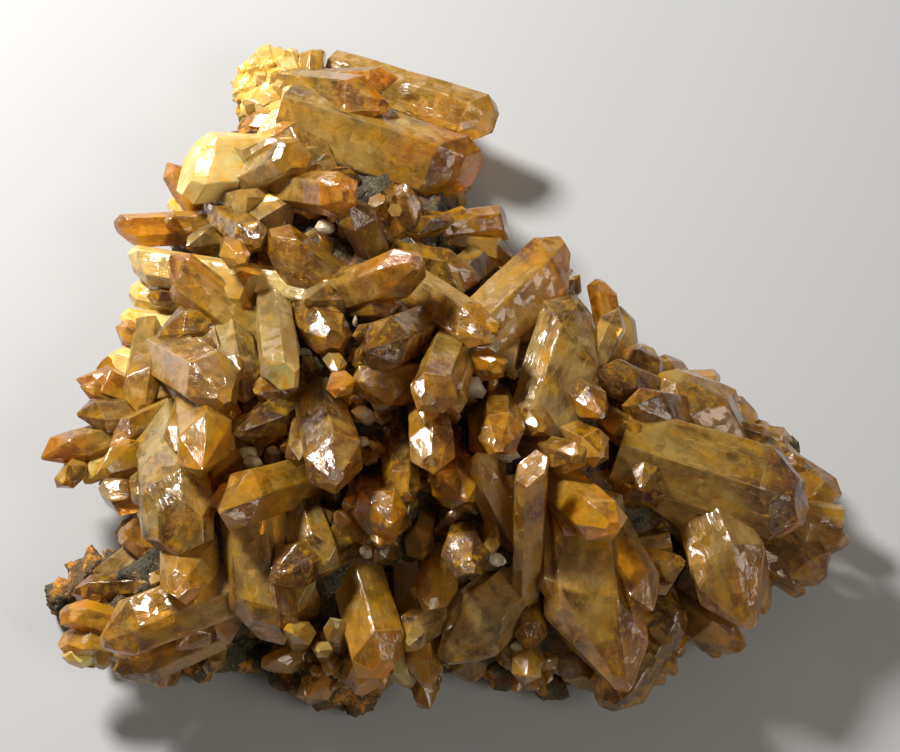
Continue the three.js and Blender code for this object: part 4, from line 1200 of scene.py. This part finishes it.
def rockMaterial(name):
    material, tree = newMaterial(name)
    clean, bare = 1 - rocks[name]["stained"], 1 - rocks[name]["rusty"]
    place = addNode(tree, "ShaderNodeTexCoord").outputs["Object"]
    grain = noise(tree, place, 900, 6, 0.3, 0.65)
    stains = between(tree, noise(tree, place, 95, 5, 0.8, 0.6), clean, clean + 0.15)
    spots = between(tree, noise(tree, place, 170, 4, 0.6, 0.6), bare, bare + 0.07)
    spots = times(tree, spots, between(tree, grain, 0.36, 0.6))
    pale = between(tree, noise(tree, place, 1600, 3, 0.2), 0.6, 0.7)
    colour = blendColours(tree, between(tree, grain, 0.38, 0.72), rocks[name]["dark"], rockLook["grain"])
    colour = blendColours(tree, times(tree, stains, 0.85), colour, rockLook["brown"])
    colour = blendColours(tree, spots, colour, rockLook["rust"])
    colour = blendColours(tree, times(tree, pale, 0.6), colour, rockLook["pale"])
    relief = arithmetic(tree, "MULTIPLY_ADD", noise(tree, place, 2600, 3), 0.3, grain)
    finishMaterial(tree, {
        "Base Color": colour, "Roughness": rockLook["roughness"],
        "Normal": bump(tree, rockLook["relief"], rockLook["reliefHeight"], relief),
    })
    return material


def dress(piece, material):
    piece.data.materials.clear()
    piece.data.materials.append(material)
    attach(piece, "root")


# The palest crystals of the crown and the left are so cloudy that less light passes them.
paleTints = ("cream_painted_highlight", "cream", "frost")
paleRows = [row for row in crown + leftFlank if row[10] in paleTints]
palePieces = [
    tableCrystals("pale_crystals", paleRows), crumbCrystals("crown_crumbs"), lumpPiece("crown_mass"),
]
crystalPieces = [
    tableCrystals("crown_crystals", [row for row in crown if row[10] not in paleTints]),
    tableCrystals("left_crystals", [row for row in leftFlank if row[10] not in paleTints]),
    tableCrystals("middle_crystals", middle),
    tableCrystals("right_crystals", rightFlank),
    tableCrystals("foot_crystals", foot),
    skirtCrystals(),
    parallelCrystals(),
    crowdCrystals("medium_crystals"),
    crowdCrystals("small_crystals"),
    sideCrystals(),
    crumbCrystals("heel_crumbs"),
    crumbCrystals("toe_crumbs"),
    crumbCrystals("foot_crumbs"),
]
for name, seeThrough, pieces in (
    ("golden_crystal", 0.72, crystalPieces),
    ("pale_crystal", 0.35, palePieces),
):
    material = crystalMaterial(name, seeThrough)
    for piece in pieces:
        dress(piece, material)
        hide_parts("crystals")
dress(pebblePiece(), pebbleMaterial())
print("crystals made")

dress(crustPiece(), rockMaterial("crust_rock"))
rockMesh = rockPiece()
dress(rockMesh, rockMaterial("host_rock"))
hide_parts("host_rock")
dress(lumpPiece("rock_lumps"), rockMaterial("rim_rock"))
print("rock made")


# Floor, lights and camera.
studio = {
    "floor": (0.38, 0.40, 0.43, 1), "floorHalf": 3000.0, "floorRoughness": 0.7,
    "world": (1.0, 0.88, 0.70, 1), "worldStrength": 0.11, "sensor": 36,
    "key": {"place": (-0.38, 0.37, 0.50), "size": 0.16, "power": 10.4, "colour": (1.0, 0.94, 0.86)},
    "fill": {"place": (0.7, -0.5, 0.8), "size": 0.6, "power": 4.5, "colour": (1.0, 0.92, 0.80)},
}


def makeFloor():
    corners = np.array([(-1, -1, 0), (1, -1, 0), (1, 1, 0), (-1, 1, 0)]) * studio["floorHalf"]
    floor = meshPiece("floor", corners, [(0, 1, 2, 3)], {}, 30)
    material, tree = newMaterial("floor")
    finishMaterial(tree, {"Base Color": studio["floor"], "Roughness": studio["floorRoughness"]})
    floor.data.materials.append(material)


# An object at a place that looks along a direction.
def aimed(name, data, place, way):
    thing = bpy.data.objects.new(name, data)
    thing.location = place
    thing.rotation_euler = Vector(way).to_track_quat("-Z", "Y").to_euler()
    bpy.context.scene.collection.objects.link(thing)
    return thing


def makeLight(name):
    values = studio[name]
    data = bpy.data.lights.new(name, "AREA")
    data.shape = "DISK"
    data.size = values["size"]
    data.energy = values["power"]
    data.color = values["colour"]
    aimed(name, data, values["place"], -Vector(values["place"]))


def makeCamera():
    data = bpy.data.cameras.new("camera")
    data.sensor_width = studio["sensor"]
    data.lens = studio["sensor"] * sheet["eyeDistance"] / sheet["width"]
    bpy.context.scene.camera = aimed("camera", data, (eye * millimetre).tolist(), (-toEye).tolist())


def makeWorld():
    world = bpy.data.worlds.new("studio")
    world.use_nodes = True
    background = world.node_tree.nodes["Background"]
    background.inputs["Color"].default_value = studio["world"]
    background.inputs["Strength"].default_value = studio["worldStrength"]
    bpy.context.scene.world = world


makeFloor()
makeLight("key")
makeLight("fill")
makeCamera()
makeWorld()
scene = bpy.context.scene
scene.view_settings.view_transform = "Standard"
scene.cycles.max_bounces = 4
scene.cycles.transmission_bounces = 4
scene.cycles.diffuse_bounces = 2
scene.cycles.glossy_bounces = 2
print("studio set")
